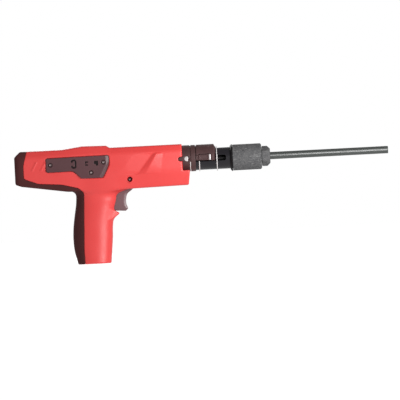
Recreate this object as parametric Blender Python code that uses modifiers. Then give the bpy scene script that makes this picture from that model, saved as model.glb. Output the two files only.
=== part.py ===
"""Powder-actuated nail gun with a slim nose tube, for Blender 4.5.

Frame: the origin is the centre of the butt's flat rear face, on the drive axis. +X runs along the
drive axis to the muzzle, +Z points away from the grip, and -Y is the tool's right-hand side.
Dimensions are written in millimetres and turned into metres where the geometry is made.
"""

import math

import bmesh
import bpy
from mathutils import Matrix, Vector

MM = 0.001
COLLECTION = "powder_actuated_nail_gun"
GAP = 0.3                    # clearance between touching pieces
STEPS = 24                   # facets of the pieces turned about the drive axis
FAR = 300.0                  # a length beyond every face, for cutters

# Housing
HALF_WIDTH = 25.0
SIDE_TAPER = 3.2 / 86          # how the sides close in towards the front
WALL = 2.8
RUBBER = 3.0                 # thickness of the soft skin at the butt and the grip's back
FRONT = 223.4                # housing's front face above the chin
FOOT_Z = -131.5
SIDE_WALL = 3.5
HEAD_RECESS = 1.5            # how deep the plate screws' heads are sunk
PLATE_RECESS_Y = 23.2
PLATE_FACE_Y = 25.9

# Drive train, radii about the drive axis
BORE_R = 10.2
BARREL_R = 14.2
BARREL_REAR_R = 13.2
BARREL_STEP_X = 153.0
BARREL_REAR_X = 131.0
CHAMBER_NOSE_X = 127.0
BARREL_FRONT_X = 300.0
CARRIER_R = 16.3
CARRIER_X = (150.0, 219.0)
RECEIVER_R = 18.0
RECEIVER_BORE_R = 16.6
COLLAR_R = 17.5
COLLAR_Z = 2.0               # the collar is eccentric: thick on top, thin below
COLLAR_X = (213.0, 241.0)
COVER_X = (241.4, 268.3)
COVER_EDGE_Z = -2.4
MUFFLER_R = 17.2
MUFFLER_X = (290.4, 328.8)
NUT_FLATS = 23.2
NUT_X = (329.1, 340.2)
TUBE_R = 4.9
TUBE_BORE_R = 3.9
MUZZLE_X = 497.0
ROD_R = 3.6
PISTON_X = (141.0, 156.0, 188.0, 411.0)   # head, shank, rod, tip
PISTON_HEAD_R = 9.9
PISTON_SHANK_R = 5.6
BUFFER_X = (283.5, 298.5)
FLANGE_X = (300.4, 305.0)    # nose tube's flange in the muffler, then its spigot
FLANGE_R = 12.0
SPIGOT_R = 8.0

# Cartridge strip channel, through the grip
STRIP_X = (104.6, 111.4)
STRIP_HALF_Y = 5.5
STRIP_WALL = 1.4
STRIP_Z = (-131.2, 24.0)
BREECH_X = (86.2, 102.7)
BREECH_Y, BREECH_Z = 14.0, 15.0

# Trigger, sear and pawl pivots
TRIGGER_PIVOT = (152.6, -21.9)
TRIGGER_HALF_Y = 5.5
BAR_PIN = (149.6, -29.0)
SEAR_PIVOT = (64.0, -17.6)
PAWL_PIVOT = (119.0, -30.0)
PINS = [(SEAR_PIVOT, 12.0, 19.0), (PAWL_PIVOT, 11.2, 15.5)]   # pivot, boss start, pin's end
CATCH_X = (245.2, 261.2)
CATCH_Z = (-1.6, 6.1)

# Corners of the side view: x, z and fillet radius
BODY_SIDE = [
    (0, -21.5, 4), (0, 13.8, 2), (8.6, 21.6, 3), (64, 21.6, 30), (91, 25.0, 20), (123, 24.3, 1.5),
    (127.6, 21.3, 2), (FRONT, 21.3, 1), (FRONT, -13.6, 1), (233, -13.6, 1.5), (230.3, -33.2, 2),
    (150, -34.4, 20), (70, -34.4, 30), (9, -24.8, 5),
]
# Corners of the cross-section: y, z and fillet radius
BODY_SECTION = [
    (-HALF_WIDTH, -14.5, 3), (-HALF_WIDTH, 12.8, 3), (-17.6, 27, 3), (17.6, 27, 3),
    (HALF_WIDTH, 12.8, 3), (HALF_WIDTH, -14.5, 3), (18.2, -37, 3), (-18.2, -37, 3),
]
# Corners of the plan view: x, y and fillet radius
BODY_PLAN = [
    (0, -HALF_WIDTH, 9), (0, HALF_WIDTH, 9), (150, HALF_WIDTH, 60), (236, 21.8, 3),
    (236, -21.8, 3), (150, -HALF_WIDTH, 60),
]
# Grip sections from the top down: z, rear x, front x, half width
GRIP = [
    (-22, 84, 148, 20.5), (-34.4, 80.4, 146.5, 19.6), (-38.5, 80.2, 138.8, 18.8),
    (-50, 79.5, 133.8, 17.6), (-66, 76.8, 129.6, 17.2), (-82, 74.4, 126.9, 17.2),
    (-98, 73.5, 126, 17.2), (-112, 74.3, 124.6, 17.2), (FOOT_Z, 78.5, 122.6, 17.6),
]
# The soft skin covers everything behind this line: x, z and fillet radius
SKIN_EDGE = [
    (17.6, 40, 0), (17.2, 20, 8), (12.4, 3, 30), (12.4, -14.6, 4), (31, -21.9, 20), (62, -24.4, 20),
    (84, -30.2, 8), (91, -36.5, 6), (90.4, -52, 40), (87.7, -110, 40), (88.2, -160, 0),
    (-40, -160, 0), (-40, 40, 0),
]
PLATE = [
    (42.5, 11, 2.5), (126.6, 11.5, 3), (126.6, -1.5, 6), (117.6, -17.9, 2), (88.6, -17.8, 4),
    (79, -7.4, 10), (42.5, -7.8, 3),
]
PLATE_SCREWS = [(48.1, 2.0), (118.7, 2.5), (101.9, -10.4)]
HOOK = [(118, -59.5, 0), (130, -61.8, 1), (137.2, -65.9, 1.2), (127.5, -73.4, 5), (118, -76, 0)]
RIDGE = [  # level, then the foot of its rear flank, its crest and where its front flank ends
    (-14.3, 164.0, 174.2, 194.4), (9.7, 183.8, 188.9, 198.2)]
RIDGE_HEIGHT = 1.4            # above the side, and the valley behind it is as deep
TRIGGER = [
    (148.6, -18.5, 3.2), (156.6, -18.5, 3.2), (158.6, -33, 10), (147.6, -40.5, 8), (145.2, -51.5, 25),
    (148.4, -60.2, 1.3), (145, -63.3, 1.6), (130, -62.3, 3), (126, -56, 3), (136.6, -33, 8),
]

MATERIALS = {  # name: colour, roughness, metallic
    "red_plastic": ((0.80, 0.045, 0.035), 0.45, 0.0),
    "soft_rubber": ((0.035, 0.024, 0.026), 0.75, 0.0),
    "plate_plastic": ((0.085, 0.06, 0.062), 0.5, 0.0),
    "blackened_steel": ((0.03, 0.028, 0.03), 0.35, 0.8),
    "sleeve_coating": ((0.10, 0.10, 0.10), 0.8, 0.0),
    "tube_steel": ((0.20, 0.21, 0.20), 0.4, 0.9),
    "bright_steel": ((0.62, 0.62, 0.62), 0.25, 1.0),
    "spring_steel": ((0.40, 0.40, 0.42), 0.3, 1.0),
    "polyurethane": ((0.55, 0.30, 0.06), 0.5, 0.0),
}


# --- outlines -------------------------------------------------------------------------------------

def offset(corners, distance):
    """The corners moved inwards by distance, with each fillet radius kept parallel."""
    area = sum(a[0] * b[1] - b[0] * a[1] for a, b in zip(corners, corners[1:] + corners[:1]))
    turn = 1 if area > 0 else -1
    moved = []
    for i, (x, z, radius) in enumerate(corners):
        here = Vector((x, z))
        before = (here - Vector(corners[i - 1][:2])).normalized()
        after = (Vector(corners[(i + 1) % len(corners)][:2]) - here).normalized()
        inward_a = Vector((-before.y, before.x)) * turn
        inward_b = Vector((-after.y, after.x)) * turn
        shift = (inward_a + inward_b) * distance / (1 + inward_a.dot(inward_b))
        convex = (before.x * after.y - before.y * after.x) * turn > 0
        new_radius = max(radius - distance, 0.5) if convex else max(radius + distance, 0.0)
        moved.append((*(here + shift), new_radius))
    return moved


def rounded(corners, most=25):
    """The outline with an arc at each corner, in steps of at most that many degrees."""
    points = []
    for i, (x, z, radius) in enumerate(corners):
        here = Vector((x, z))
        to_before = Vector(corners[i - 1][:2]) - here
        to_after = Vector(corners[(i + 1) % len(corners)][:2]) - here
        angle = to_before.angle(to_after)
        turn = math.pi - angle
        if radius <= 0 or turn < math.radians(1):
            points.append(here)
            continue
        reach = radius / math.tan(angle / 2)
        reach = min(reach, 0.49 * to_before.length, 0.49 * to_after.length)
        radius = reach * math.tan(angle / 2)
        centre = here + (to_before.normalized() + to_after.normalized()).normalized() * (
            radius / math.sin(angle / 2))
        start = here + to_before.normalized() * reach - centre
        end = here + to_after.normalized() * reach - centre
        steps = max(1, math.ceil(turn / math.radians(most)))
        sweep = start.angle_signed(end)
        for step in range(steps + 1):
            points.append(centre + Matrix.Rotation(-sweep * step / steps, 2) @ start)
    return points


# --- objects --------------------------------------------------------------------------------------

def clear_scene():
    for obj in list(bpy.data.objects):
        bpy.data.objects.remove(obj)


def collection(name):
    found = bpy.data.collections.get(name)
    if found is None:
        found = bpy.data.collections.new(name)
        bpy.context.scene.collection.children.link(found)
    return found


def material(name):
    found = bpy.data.materials.get(name)
    if found is None:
        colour, roughness, metallic = MATERIALS[name]
        found = bpy.data.materials.new(name)
        found.use_nodes = True
        shader = found.node_tree.nodes["Principled BSDF"]
        shader.inputs["Base Color"].default_value = (*colour, 1)
        shader.inputs["Roughness"].default_value = roughness
        shader.inputs["Metallic"].default_value = metallic
    return found


def helper(obj):
    """A cutter or a guide: kept in its own collection and left out of the model."""
    for owner in list(obj.users_collection):
        owner.objects.unlink(obj)
    collection("cutters").objects.link(obj)
    obj.hide_render = True
    obj.display_type = "WIRE"
    return obj


def piece(obj, name, finish):
    """A sub-part: named, in the model's collection, with its material and smooth round faces."""
    for owner in list(obj.users_collection):
        owner.objects.unlink(obj)
    collection(COLLECTION).objects.link(obj)
    obj.hide_render = False
    obj.display_type = "TEXTURED"
    obj.name = name
    obj.data.name = name
    obj.data.materials.clear()
    obj.data.materials.append(material(finish))
    if obj.type == "MESH":
        obj.data.shade_smooth()
        obj.data.set_sharp_from_angle(angle=math.radians(35))
    return obj


def as_mesh(curve_object):
    """The curve object as a mesh with its caps welded on."""
    bpy.context.view_layer.update()
    graph = bpy.context.evaluated_depsgraph_get()
    mesh = bpy.data.meshes.new_from_object(curve_object.evaluated_get(graph))
    cage = bmesh.new()
    cage.from_mesh(mesh)
    bmesh.ops.remove_doubles(cage, verts=cage.verts, dist=1e-7)
    bmesh.ops.dissolve_limit(cage, angle_limit=math.radians(0.5), verts=cage.verts, edges=cage.edges)
    bmesh.ops.recalc_face_normals(cage, faces=cage.faces)
    cage.to_mesh(mesh)
    cage.free()
    obj = bpy.data.objects.new(curve_object.name, mesh)
    bpy.context.scene.collection.objects.link(obj)
    obj.matrix_world = curve_object.matrix_world
    bpy.data.objects.remove(curve_object)
    return obj


AXIS_TURN = {  # turns an outline's own plane, x and y, into the plane across the named axis
    "X": Matrix(((0, 0, 1), (1, 0, 0), (0, 1, 0))).to_4x4(),
    "Y": Matrix(((1, 0, 0), (0, 0, -1), (0, 1, 0))).to_4x4(),
    "Z": Matrix.Identity(4),
}


def slab(points, low, high, axis="Y", bevel=0.0):
    """A flat outline, thick from low to high along the axis. Outlines across X are (y, z)."""
    curve = bpy.data.curves.new("slab", "CURVE")
    curve.dimensions = "2D"
    curve.fill_mode = "BOTH"
    curve.extrude = (high - low) / 2 * MM
    spline = curve.splines.new("POLY")
    spline.points.add(len(points) - 1)
    for control, (a, b) in zip(spline.points, points):
        control.co = (a * MM, b * MM, 0, 1)
    spline.use_cyclic_u = True
    holder = bpy.data.objects.new("slab", curve)
    bpy.context.scene.collection.objects.link(holder)
    along = Vector(tuple(float(letter == axis) for letter in "XYZ"))
    holder.matrix_world = Matrix.Translation(along * (low + high) / 2 * MM) @ AXIS_TURN[axis]
    obj = as_mesh(holder)
    if bevel:
        edges = obj.modifiers.new("edges", "BEVEL")
        edges.width = bevel * MM
        edges.segments = 1
        edges.limit_method = "ANGLE"
        edges.angle_limit = math.radians(50)
        edges.use_clamp_overlap = False
    return helper(obj)


def box(x, y, z, bevel=0.0):
    """A block between two limits on each axis."""
    return slab([(x[0], z[0]), (x[1], z[0]), (x[1], z[1]), (x[0], z[1])], y[0], y[1], bevel=bevel)


def turned(profile, axis="X", centre=(0, 0, 0), steps=STEPS):
    """A profile of (place along the axis, radius) points turned about the axis. A profile that
    doesn't reach radius 0 at both ends is closed on itself, as for a ring or a tube."""
    solid = profile[0][1] == 0 and profile[-1][1] == 0
    mesh = bpy.data.meshes.new("turned")
    edges = [(i, i + 1) for i in range(len(profile) - 1)]
    if not solid:
        edges.append((len(profile) - 1, 0))
    mesh.from_pydata([(radius * MM, 0, along * MM) for along, radius in profile], edges, [])
    obj = bpy.data.objects.new("turned", mesh)
    bpy.context.scene.collection.objects.link(obj)
    screw = obj.modifiers.new("turn", "SCREW")
    screw.axis = "Z"
    screw.steps = screw.render_steps = steps
    screw.use_merge_vertices = True
    screw.merge_threshold = 0.00001
    area = sum(a[0] * b[1] - b[0] * a[1] for a, b in zip(profile, profile[1:] + profile[:1]))
    screw.use_normal_flip = area < 0
    turn = {"X": Matrix.Rotation(math.pi / 2, 4, "Y"), "Y": Matrix.Rotation(-math.pi / 2, 4, "X"),
            "Z": Matrix.Identity(4)}[axis]
    obj.matrix_world = Matrix.Translation(Vector(centre) * MM) @ turn
    return helper(obj)


def rod(axis, low, high, radius, centre=(0, 0, 0), steps=STEPS):
    return turned([(low, 0), (low, radius), (high, radius), (high, 0)], axis, centre, steps)


def ring(low, high, inner, outer, steps=STEPS):
    return turned([(low, outer), (high, outer), (high, inner), (low, inner)], steps=steps)


def boolean(obj, other, operation):
    step = obj.modifiers.new(operation.lower(), "BOOLEAN")
    step.operation = operation
    step.solver = "EXACT"
    step.object = other
    return obj


def cut(obj, *others):
    for other in others:
        boolean(obj, other, "DIFFERENCE")
    return obj


def join(obj, *others):
    for other in others:
        boolean(obj, other, "UNION")
    return obj


def keep(obj, other):
    return boolean(obj, other, "INTERSECT")


def spring(name, start, end, radius, wire, turns, axis="X", centre=(0, 0, 0)):
    """A coil between two places along the axis, at its mean radius, in wire of that diameter."""
    per_turn = 9
    count = int(turns * per_turn)
    curve = bpy.data.curves.new(name, "CURVE")
    curve.dimensions = "3D"
    curve.bevel_depth = wire / 2 * MM
    curve.bevel_resolution = 1
    curve.use_fill_caps = True
    spline = curve.splines.new("POLY")
    spline.points.add(count)
    first, last = start + wire / 2, end - wire / 2
    for i, control in enumerate(spline.points):
        angle = 2 * math.pi * i / per_turn
        along = first + (last - first) * i / count
        across = (radius * math.cos(angle), radius * math.sin(angle))
        place = (along, *across) if axis == "X" else (across[0], along, across[1])
        control.co = (*((Vector(place) + Vector(centre)) * MM), 1)
    obj = bpy.data.objects.new(name, curve)
    bpy.context.scene.collection.objects.link(obj)
    return piece(obj, name, "spring_steel")


def loft(sections):
    """A solid through level rings of points, each with the same number of points."""
    cage = bmesh.new()
    rings = [[cage.verts.new(Vector(point) * MM) for point in section] for section in sections]
    for low, high in zip(rings, rings[1:]):
        for i in range(len(low)):
            j = (i + 1) % len(low)
            cage.faces.new((low[i], low[j], high[j], high[i]))
    cage.faces.new(rings[0])
    cage.faces.new(rings[-1])
    bmesh.ops.recalc_face_normals(cage, faces=cage.faces)
    bmesh.ops.triangulate(cage, faces=cage.faces)
    mesh = bpy.data.meshes.new("loft")
    cage.to_mesh(mesh)
    cage.free()
    obj = bpy.data.objects.new("loft", mesh)
    bpy.context.scene.collection.objects.link(obj)
    return helper(obj)


# --- housing --------------------------------------------------------------------------------------

def grip_loft(inset):
    """The grip as a loft of superellipses, inset on every side."""
    count = 20
    power = 2 / 2.7
    sections = []
    for z, rear, front, half in GRIP:
        centre, reach = (rear + front) / 2, (front - rear) / 2 - inset
        level = max(z, FOOT_Z + inset)
        points = []
        for i in range(count):
            angle = 2 * math.pi * (i + 0.5) / count
            c, s = math.cos(angle), math.sin(angle)
            points.append((centre + math.copysign(abs(c) ** power, c) * reach,
                           math.copysign(abs(s) ** power, s) * (half - inset), level))
        sections.append(points)
    return loft(sections)


def flanks(inset, most):
    """The cross-section drawn along the housing, closing in towards the front."""
    outline = rounded(offset(BODY_SECTION, inset * SIDE_WALL / WALL), most)
    sections = []
    for x in (-10.0, 150.0, 245.0):
        taper = max(0.0, x - 150) * SIDE_TAPER
        sections.append([(x, y - math.copysign(min(taper, abs(y)), y), z) for y, z in outline])
    return loft(sections)


def body_block(inset):
    """The barrel housing: where its side view, plan view and cross-section meet, inset all over."""
    most = 50 if inset else 25
    block = slab(rounded(offset(BODY_SIDE, inset), most), -FAR, FAR)
    keep(block, flanks(inset, most))
    keep(block, slab(rounded(offset(BODY_PLAN, inset), most), -FAR, FAR, "Z"))
    return block


def casing(inset):
    """The outside of the whole housing, or a copy of it that lies inset inside."""
    block = join(body_block(inset), grip_loft(inset))
    if not inset:
        join(block, slab(rounded(HOOK), -9, 9, bevel=1.1))
    return block


def skin_region(grow):
    """Everything behind the soft skin's edge, grown by a distance."""
    return slab(rounded(offset(SKIN_EDGE, -grow)), -FAR, FAR)


def cavity():
    """The space inside the shells: a wall in from the outside, or from the back of the skin."""
    space = cut(casing(WALL), skin_region(WALL))
    return join(space, casing(RUBBER + WALL))


def rib_blanks(side):
    """Ribs across the housing that hold the striker tube and the receiver."""
    ribs = []
    y = sorted((side * (GAP / 2), side * (HALF_WIDTH - 1)))
    for x, radius in ((24, 12.5), (54, 12.5), (142, RECEIVER_R), (200, RECEIVER_R)):
        blank = box((x, x + 2.5), y, (-16.5, 23))
        hole = (radius + GAP) / math.cos(math.pi / 16)
        cut(blank, rod("X", x - 1, x + 4, hole, steps=16))
        ribs.append(keep(blank, casing(1.0)))
    frame = box((92, 95), y, (-17.5, 23))
    cut(frame, box((90, 97), (-BREECH_Y - GAP, BREECH_Y + GAP), (-BREECH_Z - GAP, BREECH_Z + GAP)))
    ribs.append(keep(frame, casing(1.0)))
    return ribs


def foot_outline(grow):
    """The opening in the grip's foot round the strip guide, grown by a distance."""
    corners = [(93.0, -12.6, 3), (118.4, -12.6, 6), (118.4, 12.6, 6), (93.0, 12.6, 3)]
    return rounded(offset(corners, -grow))


def foot_plate():
    """The plate in the grip's foot, with the strip's slot and a lip that rests inside the grip."""
    plate = slab(foot_outline(-GAP), FOOT_Z, FOOT_Z + WALL + 1.5, "Z")
    lip = keep(slab(foot_outline(1.4), FOOT_Z + WALL + GAP, FOOT_Z + WALL + 2.0, "Z"), casing(WALL + GAP))
    join(plate, lip)
    cut(plate, box((STRIP_X[0] - 1.9, STRIP_X[1] + 1.9), (-STRIP_HALF_Y - 1.8, STRIP_HALF_Y + 1.8),
                   (-FAR, FAR)))
    piece(plate, "foot_plate", "red_plastic")


def across(side, low, high, radius, place, steps=12):
    """A round bar across the housing on one side, between two distances from the mid-plane."""
    return rod("Y", *sorted((side * low, side * high)), radius, (place[0], 0, place[1]), steps)


def across_side(side, corners):
    """A loft up the side: at each level, the corners' x and their distance out from the side face."""
    sections = []
    for level, points in corners:
        section = []
        for x, out in points:
            face = HALF_WIDTH - max(0.0, x - 150) * SIDE_TAPER
            section.append((x, side * (face + out), level))
        sections.append(section)
    return loft(sections)


def valley(side):
    """What is cut away behind the slanting ridge: it falls slowly towards the ridge's foot."""
    return across_side(side, [
        (z, [(foot - 26, 0), (foot, -RIDGE_HEIGHT), ((foot + crest) / 2, -RIDGE_HEIGHT / 2),
             ((foot + crest) / 2, 4), (foot - 26, 4)]) for z, foot, crest, front in RIDGE])


def ridge(side):
    """The slanting ridge on the side: steep at its rear, then shallow down to the front."""
    return across_side(side, [
        (z, [(foot, -RIDGE_HEIGHT), (crest, RIDGE_HEIGHT), (front, -0.1), (front, -2), (foot, -2)])
        for z, foot, crest, front in RIDGE])


def rib(side, x):
    """A small slanting rib behind the plate, steep on its front."""
    return across_side(side, [
        (z, [(x + lean, -1), (x + lean, -0.1), (x + lean + 2.4, 0.95), (x + lean + 3.6, -0.1),
             (x + lean + 3.6, -1)]) for z, lean in ((-4.9, 0), (6.6, 6.2))])


def pivot_well(side):
    """The trigger pivot's hole through the housing and the well that its screw or nut sits in."""
    x, z = TRIGGER_PIVOT
    profile = [(-1, 0), (-1, 1.9), (16.5, 1.9), (16.5, 3.45), (60, 3.45), (60, 0)]
    return turned([(side * along, radius) for along, radius in profile], "Y", (x, 0, z), 16)


def shell(side, space):
    """Half of the housing. side is -1 for the right-hand shell and +1 for the left-hand one."""
    half = cut(casing(0), cut(skin_region(0), casing(RUBBER + GAP)))
    y = sorted((side * GAP / 2, side * FAR))
    keep(half, box((-FAR, 2 * FAR), y, (-FAR, FAR)))
    cut(half, space)
    join(half, *rib_blanks(side))
    join(half, across(side, 6.5, 21.6, 4.6, TRIGGER_PIVOT))
    cut(half, pivot_well(side))
    for pivot, start, end in PINS:
        join(half, across(side, start, end + 2.6, 3.0, pivot))
        cut(half, across(side, -1, end + GAP, 1.7, pivot))
    cut(half, rod("X", COLLAR_X[0] - 3, FAR, COLLAR_R + GAP, (0, 0, COLLAR_Z)))
    cut(half, across(side, 12, FAR, 3.0, (FRONT - 2.6, 1.4)))
    cut(half, box((FRONT - 2.6, FRONT + 5), (-FAR, FAR), (-1.6, 4.4)))
    cut(half, valley(side))
    join(half, ridge(side), rib(side, 21.5), rib(side, 33.5))
    cut(half, box((STRIP_X[0] - 1.9, STRIP_X[1] + 1.9), (-STRIP_HALF_Y - 1.8, STRIP_HALF_Y + 1.8),
                  (-FAR, FAR)))
    cut(half, slab(foot_outline(0), -FAR, FOOT_Z + WALL + 2, "Z"))
    cut(half, box((118, 160), (-TRIGGER_HALF_Y - 0.8, TRIGGER_HALF_Y + 0.8), (-64.4, -25)))
    cut(half, slab(rounded(offset(PLATE, -GAP)), *sorted((side * PLATE_RECESS_Y, side * FAR))))
    for place in PLATE_SCREWS:
        cut(half, across(side, 15, FAR, 1.6, place, 12))
    return half


def mirrored(obj):
    """A copy of the finished object on the other side of the mid-plane."""
    bpy.context.view_layer.update()
    graph = bpy.context.evaluated_depsgraph_get()
    mesh = bpy.data.meshes.new_from_object(obj.evaluated_get(graph))
    mesh.transform(Matrix.Scale(-1, 4, (0, 1, 0)) @ obj.matrix_world)
    mesh.flip_normals()
    copy = bpy.data.objects.new("mirrored", mesh)
    bpy.context.scene.collection.objects.link(copy)
    return copy


def housing():
    right = piece(shell(-1, cavity()), "right_shell", "red_plastic")
    piece(mirrored(right), "left_shell", "red_plastic")
    skin = keep(casing(0), skin_region(-GAP))
    cut(skin, casing(RUBBER))
    piece(skin, "rubber_backstrap", "soft_rubber")
    foot_plate()


def side_plate(side, name):
    """The screwed cover on the housing's side, with its pictogram recesses."""
    inner, outer = side * (PLATE_RECESS_Y + GAP), side * PLATE_FACE_Y
    plate = slab(rounded(PLATE), *sorted((inner, outer)), bevel=0.9)
    recess = sorted((side * (PLATE_FACE_Y - 0.7), side * FAR))
    seat = PLATE_FACE_Y - HEAD_RECESS
    oval = slab(rounded([(75.6, -4.4, 3), (83.2, -4.4, 3), (83.2, 8.2, 3), (75.6, 8.2, 3)]), *recess)
    cut(oval, slab(rounded([(77.2, -2.8, 1.8), (81.6, -2.8, 1.8), (81.6, 6.6, 1.8),
                            (77.2, 6.6, 1.8)]), -FAR, FAR))
    cut(oval, box((74, 79.6), (-FAR, FAR), (0.2, 3.6)))
    cut(plate, oval)
    cut(plate, box((94.6, 98.4), recess, (3, 4.6)), box((94.6, 98.4), recess, (-0.9, 0.7)))
    cut(plate, box((106.6, 111.6), recess, (-1.0, 4.6)))
    for place in PLATE_SCREWS:
        cut(plate, across(side, seat, FAR, 3.1, place), across(side, 0, FAR, 1.6, place, 12))
    piece(plate, name, "plate_plastic")


def screw(name, side, x, z, seat, tip, head_radius=2.6, shank_radius=1.3):
    """A pan-head screw across the housing, its head seated at y = seat and its end at y = tip."""
    head = 1.5
    body = turned([(side * (seat + head), 0), (side * (seat + head), head_radius * 0.75),
                   (side * (seat + head * 0.55), head_radius), (side * seat, head_radius),
                   (side * seat, shank_radius), (side * tip, shank_radius), (side * tip, 0)],
                  "Y", (x, 0, z), 12)
    socket = rod("Y", *sorted((side * (seat + head - 1.1), side * (seat + head + 3))),
                 head_radius * 0.42, (x, 0, z), 6)
    piece(cut(body, socket), name, "bright_steel")


def housing_screws():
    for side, word in ((-1, "right"), (1, "left")):
        for number, (x, z) in enumerate(PLATE_SCREWS, 1):
            seat = PLATE_FACE_Y - HEAD_RECESS + 0.1
            screw(f"{word}_plate_screw_{number}", side, x, z, seat, 18.8)
    x, z = TRIGGER_PIVOT
    screw("trigger_pivot_screw", -1, x, z, 16.8, -19.2, 3.0, 1.6)
    nut = across(1, 16.8, 19.6, 3.1, TRIGGER_PIVOT, 6)
    piece(cut(nut, across(1, 15, 25, 1.9, TRIGGER_PIVOT)), "trigger_pivot_nut", "bright_steel")


# --- barrel and its guides ------------------------------------------------------------------------

def receiver():
    """The steel sleeve fixed in the housing, with the eccentric collar that shows at the front."""
    body = rod("X", 116, COLLAR_X[0] + 2, RECEIVER_R)
    join(body, rod("X", *COLLAR_X, COLLAR_R, (0, 0, COLLAR_Z)))
    for side in (-1, 1):
        key = slab(rounded([(218.2, -1.2, 2.5), (225, -1.2, 0), (225, 4.0, 0), (218.2, 4.0, 2.5)]),
                   *sorted((side * 15, side * 20.6)))
        join(body, key)
    guide, inside = BARREL_R + GAP, CARRIER_X[1] + GAP
    cut(body, turned([(100, 0), (100, guide), (118.2, guide), (118.2, RECEIVER_BORE_R),
                      (inside, RECEIVER_BORE_R), (inside, guide), (260, guide), (260, 0)]))
    cut(body, turned([(233.2, 25), (234.8, 25), (234.8, 16.6), (233.2, 16.6)], centre=(0, 0, COLLAR_Z)))
    cut(body, rod("Y", -25, -15.8, 3.6, (229.4, 0, 1.3), 20))
    piece(body, "receiver", "blackened_steel")
    pin = rod("Y", -17.9, -16.1, 3.35, (229.4, 0, 1.3), 20)
    cut(pin, box((231, 240), (-30, 0), (-10, 10)))
    piece(pin, "collar_lock_pin", "bright_steel")
    clip = turned([(233.5, 17.3), (234.5, 17.3), (234.5, 16.8), (233.5, 16.8)], centre=(0, 0, COLLAR_Z))
    cut(clip, box((230, 240), (-30, 30), (-4, 30)))
    piece(clip, "collar_snap_ring", "bright_steel")


def half_cover():
    """The half sleeve over the barrel's top, with the stop lever's window in its right side."""
    cover = rod("X", *COVER_X, COLLAR_R, (0, 0, COLLAR_Z))
    cut(cover, rod("X", 230, 280, BARREL_R + GAP))
    cut(cover, box((230, 280), (-30, 30), (-30, COVER_EDGE_Z)))
    edge = turned([(COVER_X[1] - 3, 30), (COVER_X[1] + 2, 30), (COVER_X[1] + 2, COLLAR_R - 4.6),
                   (COVER_X[1] - 2.6, COLLAR_R)], centre=(0, 0, COLLAR_Z))
    cut(cover, edge)
    cut(cover, box((240, CATCH_X[0]), (-30, -8), (COVER_EDGE_Z - 5, 5.2)))
    cut(cover, box((CATCH_X[0] - GAP, CATCH_X[1] + GAP), (-30, -8), (COVER_EDGE_Z - 5, CATCH_Z[1] + GAP)))
    piece(cover, "half_cover", "blackened_steel")


def piston_catch():
    """The block in the cover's window: its tooth runs in the barrel's slot and stops the piston."""
    block = box(CATCH_X, (-17.8, -14.8), CATCH_Z, bevel=0.5)
    join(block, box((256.4, 260.4), (-15.5, -6.8), (CATCH_Z[0], 3.0)))
    piece(block, "piston_catch", "blackened_steel")


def retaining_rings():
    """The two bright spring rings on the exposed barrel guide."""
    lower = ring(245.3, 246.5, BARREL_R + GAP, 15.9)
    cut(lower, box((240, 250), (-30, 30), (COVER_EDGE_Z - GAP, 30)))
    piece(lower, "lower_retaining_ring", "bright_steel")
    piece(ring(268.7, 269.9, BARREL_R + GAP, 16.3), "front_retaining_ring", "bright_steel")


def carrier():
    """The sliding sleeve that carries the barrel back while the muzzle is pressed to the work."""
    body = turned([(CARRIER_X[0], CARRIER_R), (CARRIER_X[1], CARRIER_R), (CARRIER_X[1], BARREL_R + GAP),
                   (BARREL_STEP_X - GAP, BARREL_R + GAP), (BARREL_STEP_X - GAP, BARREL_REAR_R + GAP),
                   (CARRIER_X[0], BARREL_REAR_R + GAP)])
    piece(body, "carrier_sleeve", "tube_steel")
    spring("press_spring", 118.6, CARRIER_X[0] - GAP, 15.4, 1.5, 5)


def barrel():
    body = turned([(CHAMBER_NOSE_X, 0), (CHAMBER_NOSE_X, 5), (BARREL_REAR_X, 5), (BARREL_REAR_X, BARREL_REAR_R),
                   (BARREL_STEP_X, BARREL_REAR_R), (BARREL_STEP_X, BARREL_R), (BARREL_FRONT_X, BARREL_R),
                   (BARREL_FRONT_X, 0)])
    cut(body, turned([(120, 0), (120, 2.9), (138, 2.9), (140, BORE_R), (320, BORE_R), (320, 0)]))
    slot = slab(rounded([(163, -2.9, 1.5), (281.3, -2.9, 2.5), (281.3, 4.3, 2.5), (163, 4.3, 1.5)]), -30, -4)
    piece(cut(body, slot), "barrel_tube", "blackened_steel")
    piece(ring(*BUFFER_X, PISTON_SHANK_R - 1.4, BORE_R - 0.2), "buffer_ring", "polyurethane")


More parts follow.
